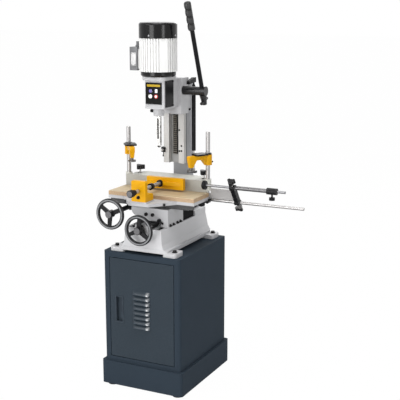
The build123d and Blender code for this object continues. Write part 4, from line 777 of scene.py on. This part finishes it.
def vise_fittings():
    """Grey cap on the vise knob and the black ring on the jaw's boss."""
    cap_inset, boss = 0.0035, 0.007
    low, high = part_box("vise_knob")
    spot = middle_of("vise_knob")
    r = (high.x - low.x) / 2 - cap_inset
    cap = [(r, 0), (r, 0.0008), (r - 0.001, 0.0014), (0.004, 0.0016)]
    turnings("vise_knob_cap", "vise_screw", cap, [(spot.x, low.y, spot.z)], FRONT, "hub_grey")
    bm = bmesh.new()
    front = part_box("vise_jaw")[0].y
    ring(bm, JAW_RING, Vector((0, front + boss, spot.z)), FRONT)
    piece("jaw_ring", bm, "jaw", "black_plastic")


def wheel_fittings():
    """Flat disc on the hub of each hand wheel, and the marks on the cross dial."""
    disc_out = 0.0021
    marks, long_every, long_l, short_l = 50, 5, 0.0052, 0.003
    mark_w, mark_t, mark_gap = 0.0006, 0.0002, 0.001
    for node, body in (("y_wheel", "cross_wheel"), ("x_wheel", "feed_wheel")):
        spot = middle_of(node)
        at = (spot.x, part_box(node)[0].y - disc_out, spot.z)
        turnings(node + "_disc", body, HUB_DISC, [at], FRONT, "hub_grey")
    spot = middle_of("y_wheel")
    low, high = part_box("y_screw")
    radius = (high.x - low.x) / 2
    dial = Matrix.Translation((spot.x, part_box("y_wheel")[1].y, spot.z))
    bm = bmesh.new()
    for k in range(marks):
        length = short_l if k % long_every else long_l
        place = (dial @ Matrix.Rotation(2 * pi * k / marks, 4, "Y")
                 @ Matrix.Translation((0, mark_gap + length / 2, radius))
                 @ Matrix.Diagonal((mark_w, length, mark_t, 1)))
        bmesh.ops.create_cube(bm, size=1.0, matrix=place)
    piece("dial_marks", bm, "cross_wheel", "black_oxide")


def column_fittings():
    """Flush screws in the ways, and screws of the keepers behind them."""
    way_places = ((0.03, 1.193), (0.03, 1.093), (0.0407, 1.118), (0.0406, 1.094))
    keeper_r, keeper_x, keeper_ups = 0.005, 0.0565, (0.025, 0.0765, 0.128)
    cheek_r, cheek_in, cheek_up = 0.0055, 0.009, 0.016
    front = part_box("column")[0].y
    places = [(x, front, z) for x, z in way_places]
    turnings("way_screws", "stand", FLUSH_SCREW, places, FRONT)
    low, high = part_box("head_casting")
    places = [(side * keeper_x, high.y, low.z + up) for _, side in SIDES for up in keeper_ups]
    turnings("keeper_screws", "head", scaled(CAP_SCREW, keeper_r), places, Y_AXIS)
    at = (high.x, high.y - cheek_in, low.z + cheek_up)
    turnings("cheek_screw", "head", scaled(CAP_SCREW, cheek_r), [at], X_AXIS)


def hold_fittings():
    """Set screw on the back of each hold-down's clamp boss."""
    post_x, post_y, screw_r, boss_r, screw_down = 0.21, 0.02, 0.0055, 0.0187, 0.036
    arm_turn = {"left": radians(-51), "right": radians(-118)}
    for name, side in SIDES:
        arm = "hold_arm_" + name
        away = -Vector((cos(arm_turn[name]), sin(arm_turn[name]), 0))
        at = Vector((side * post_x, post_y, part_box(arm)[1].z - screw_down)) + away * boss_r
        turnings("hold_screw_" + name, arm, scaled(NUT_SCREW, screw_r), [at], away)


def panel_fittings():
    """Frame and plain amber strip of the control panel."""
    rim, rim_out, rim_in, rim_bevel = 0.003, 0.0012, 0.001, 0.0005
    strip_side, strip_from, strip_to, strip_out, strip_bevel = 0.007, 0.018, 0.008, 0.0006, 0.0003
    low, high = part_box("control_panel")
    bm = bmesh.new()
    bars = [((low.x, low.z), (high.x, low.z + rim)), ((low.x, high.z - rim), (high.x, high.z)),
            ((low.x, low.z), (low.x + rim, high.z)), ((high.x - rim, low.z), (high.x, high.z))]
    for (x0, z0), (x1, z1) in bars:
        slab(bm, (x0, low.y - rim_out, z0), (x1, low.y + rim_in, z1), rim_bevel)
    piece("panel_frame", bm, "head", "black_plastic")
    bm = bmesh.new()
    slab(bm, (low.x + strip_side, low.y - strip_out, high.z - strip_from),
         (high.x - strip_side, low.y + strip_out, high.z - strip_to), strip_bevel)
    piece("panel_strip", bm, "head", "strip_yellow")


def button_fittings():
    """Button rims, lamps above the buttons and the white cap of the stop button."""
    blue_up = 0.024
    clear_half, clear_out, clear_in, clear_bevel = 0.006, 0.003, 0.001, 0.0012
    clear_from, clear_to = 0.016, 0.033
    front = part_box("control_panel")[0].y
    for button in ("start_button", "stop_button"):
        spot = middle_of(button)
        bm = bmesh.new()
        ring(bm, BUTTON_RIM, Vector((spot.x, front, spot.z)), FRONT)
        piece(button + "_rim", bm, "head", "black_oxide")
    start = middle_of("start_button")
    at = (start.x, front, start.z + blue_up)
    turnings("start_lamp", "head", LAMP_LENS, [at], FRONT, "lamp_blue")
    stop = middle_of("stop_button")
    bm = bmesh.new()
    slab(bm, (stop.x - clear_half, front - clear_out, stop.z + clear_from),
         (stop.x + clear_half, front + clear_in, stop.z + clear_to), clear_bevel)
    piece("power_lamp", bm, "head", "lamp_clear")
    at = (stop.x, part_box("stop_button")[0].y, stop.z)
    turnings("stop_cap", "stop_button", STOP_CAP, [at], FRONT, "button_white")


def motor_fittings():
    """Bare plate on the terminal box, and screws round the fan cowl."""
    plate_out, plate_in, plate_bevel = 0.0012, 0.001, 0.0006
    corner_in, corner_r = 0.004, 0.0024
    cowl_screws, cowl_r, cowl_down, cowl_sink = 4, 0.0045, 0.057, 0.0004
    low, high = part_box("switch_box")
    bm = bmesh.new()
    first = Vector((low.x + 0.011, low.y - plate_out, low.z + 0.022))
    last = Vector((high.x - 0.007, low.y + plate_in, low.z + 0.08))
    slab(bm, first, last, plate_bevel)
    piece("box_plate", bm, "head", "plate_light")
    corners = [(x, first.y, z) for x in (first.x + corner_in, last.x - corner_in)
               for z in (first.z + corner_in, last.z - corner_in)]
    turnings("box_plate_screws", "head", scaled(PAN_SCREW, corner_r), corners, FRONT, "zinc")
    low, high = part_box("motor_covers")
    spot = middle_of("motor_covers")
    radius = (high.x - low.x) / 2 - cowl_sink
    bm = bmesh.new()
    for k in range(cowl_screws):
        a = 2 * pi * k / cowl_screws
        way = Vector((cos(a), sin(a), 0))
        at = Vector((spot.x, spot.y, high.z - cowl_down)) + way * radius
        turned(bm, scaled(PAN_SCREW, cowl_r), at, way)
    piece("cowl_screws", bm, "head", "zinc")


def bellows_cover():
    """Pleated rubber cover between the saddle and the column base."""
    folds, per_fold = 9, 6
    thick, depth = 0.0022, 0.0075
    corner, corner_steps = 0.014, 6
    low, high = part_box("bellows")
    half, tall = (high.x - low.x) / 2, high.z - low.z
    section = [(-half, low.z)]
    for k in range(corner_steps + 1):
        a = pi - k * pi / 2 / corner_steps
        section.append((-half + corner + corner * cos(a), high.z - corner + corner * sin(a)))
    section += [(-x, z) for x, z in reversed(section)]
    bm = bmesh.new()
    skins = []
    count = folds * per_fold
    for inset in (0.0, thick):
        rows = []
        for i in range(count + 1):
            y = low.y + (high.y - low.y) * i / count
            dip = depth * (0.5 - 0.5 * cos(2 * pi * folds * i / count)) + inset
            across, up = (half - dip) / half, (tall - dip) / tall
            rows.append([bm.verts.new((x * across, y, low.z + (z - low.z) * up))
                         for x, z in section])
        skins.append(rows)
    shell(bm, *skins)
    cover = piece("way_cover", bm, None, "foot_rubber", crease=60)
    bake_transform(cover)
    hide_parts("bellows")


def vise_spindle():
    """Threaded spindle of the vise."""
    pitch, depth = 0.006, 0.0011
    low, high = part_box("vise_screw")
    spot = middle_of("vise_screw")
    radius = (high.x - low.x) / 2
    bm = bmesh.new()
    threaded(bm, Vector((spot.x, low.y, spot.z)), Y_AXIS, high.y - low.y, radius, pitch, depth)
    spindle = piece("vise_spindle", bm, "vise_screw", "steel_y", crease=50)
    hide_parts("vise_screw")


def auger_twist():
    """Auger bit with a cutting tip and a twisted flute."""
    tip, flute_r, pitch, depth = 0.006, 0.0065, 0.026, 0.0034
    low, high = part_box("auger_bit")
    spot = middle_of("auger_bit")
    foot = Vector((spot.x, spot.y, low.z))
    bm = bmesh.new()
    turned(bm, [(0.002, 0), ((high.x - low.x) / 2, tip), (0.006, 0.0062)], foot, Z_AXIS)
    threaded(bm, foot + tip * Z_AXIS, Z_AXIS, high.z - low.z - tip, flute_r, pitch, depth)
    auger = piece("auger_twist", bm, "spindle", "black_oxide", crease=50)
    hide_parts("auger_bit")


def grip_cover():
    """Rubber grip with a straight back, four finger swells in front and rounded ends."""
    steps, around = 64, 32
    across = X_AXIS.cross(GRIP_WAY)
    bm = bmesh.new()
    rows = []
    for k in range(steps + 1):
        u = k / steps
        near_end = min(u, 1 - u, GRIP_END) / GRIP_END
        cap = (1 - (1 - near_end) ** 2) ** 0.5
        bare = GRIP_NECK + cap * (GRIP_R - GRIP_NECK)
        swell = cap * GRIP_SWELL * abs(sin(pi * GRIP_SWELLS * u)) ** 0.7
        middle = HUB_AT + GRIP_WAY * (GRIP_START + GRIP_L * u)
        row = []
        for j in range(around):
            a = 2 * pi * j / around
            r = bare + swell * (0.5 + 0.5 * cos(a)) ** 1.5
            row.append(bm.verts.new(middle + across * (r * cos(a)) + X_AXIS * (r * sin(a))))
        rows.append(row)
    tube(bm, rows)
    cover = piece("grip_cover", bm, "lever", "grip_rubber", crease=60)
    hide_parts("lever_grip")


def studio():
    """Pale floor, white surroundings, soft lamps and the camera of the photograph."""
    scene = bpy.context.scene
    scene.view_settings.view_transform = "Standard"
    bm = bmesh.new()
    bmesh.ops.create_grid(bm, x_segments=1, y_segments=1, size=FLOOR_SIZE)
    mesh = bpy.data.meshes.new("floor")
    bm.to_mesh(mesh)
    bm.free()
    floor = bpy.data.objects.new("floor", mesh)
    scene.collection.objects.link(floor)
    mesh.materials.append(floor_material())
    world = bpy.data.worlds.new("studio")
    scene.world = world
    world.use_nodes = True
    light_world(world.node_tree)
    for name, (at, size, power) in LAMPS.items():
        lamp_light(name, at, size, power)
    data = bpy.data.cameras.new("camera")
    data.sensor_width = SENSOR
    data.lens = LENS
    data.clip_end = FAR_CLIP
    camera = bpy.data.objects.new("camera", data)
    camera.location = CAMERA_AT
    camera.rotation_euler = (radians(90 - CAMERA_DIP), 0, radians(CAMERA_TURN))
    scene.collection.objects.link(camera)
    scene.camera = camera


def seen_directly(tree):
    """1 for rays that show the background to the camera, also in metal and through glass."""
    path = tree.nodes.new("ShaderNodeLightPath")
    share = path.outputs["Is Camera Ray"]
    for kind in ("Is Glossy Ray", "Is Transmission Ray"):
        either = tree.nodes.new("ShaderNodeMath")
        either.operation = "MAXIMUM"
        tree.links.new(share, either.inputs[0])
        tree.links.new(path.outputs[kind], either.inputs[1])
        share = either.outputs["Value"]
    return share


def light_world(tree):
    """White to the camera, and a soft light on the object that fades towards the horizon."""
    background = tree.nodes["Background"]
    background.inputs["Color"].default_value = (1, 1, 1, 1)
    place = tree.nodes.new("ShaderNodeTexCoord")
    parts = tree.nodes.new("ShaderNodeSeparateXYZ")
    tree.links.new(place.outputs["Generated"], parts.inputs["Vector"])
    fade = tree.nodes.new("ShaderNodeMapRange")
    fade.inputs["From Max"].default_value = SKY_RISE
    fade.inputs["To Min"].default_value = SKY_LOW
    fade.inputs["To Max"].default_value = SKY_HIGH
    tree.links.new(parts.outputs["Z"], fade.inputs["Value"])
    level = tree.nodes.new("ShaderNodeMapRange")
    tree.links.new(seen_directly(tree), level.inputs["Value"])
    tree.links.new(fade.outputs["Result"], level.inputs["To Min"])
    tree.links.new(level.outputs["Result"], background.inputs["Strength"])


def floor_material():
    """Pale floor that stays near white and keeps a soft shadow."""
    material = bpy.data.materials.new("floor")
    material.use_nodes = True
    tree = material.node_tree
    shader = tree.nodes["Principled BSDF"]
    shader.inputs["Base Color"].default_value = FLOOR_TONE
    shader.inputs["Roughness"].default_value = FLOOR_ROUGH
    glow = tree.nodes.new("ShaderNodeEmission")
    share = tree.nodes.new("ShaderNodeMath")
    share.operation = "MULTIPLY"
    share.inputs[1].default_value = FLOOR_GLOW
    tree.links.new(seen_directly(tree), share.inputs[0])
    blend = tree.nodes.new("ShaderNodeMixShader")
    tree.links.new(share.outputs["Value"], blend.inputs["Fac"])
    tree.links.new(shader.outputs["BSDF"], blend.inputs[1])
    tree.links.new(glow.outputs["Emission"], blend.inputs[2])
    tree.links.new(blend.outputs["Shader"], tree.nodes["Material Output"].inputs["Surface"])
    return material


def lamp_light(name, at, size, power):
    """A square area lamp aimed at the middle of the machine."""
    data = bpy.data.lights.new(name, "AREA")
    data.size = size
    data.energy = power
    light = bpy.data.objects.new(name, data)
    light.location = at
    aim = LAMP_AIM - Vector(at)
    light.rotation_euler = aim.to_track_quat("-Z", "Y").to_euler()
    bpy.context.scene.collection.objects.link(light)


plinth_corners()
louvre_hoods()
pocket_shade_mats()
way_shade_skin()
saddle_fittings()
table_fittings()
vise_fittings()
wheel_fittings()
column_fittings()
hold_fittings()
panel_fittings()
button_fittings()
motor_fittings()
bellows_cover()
vise_spindle()
auger_twist()
grip_cover()
studio()
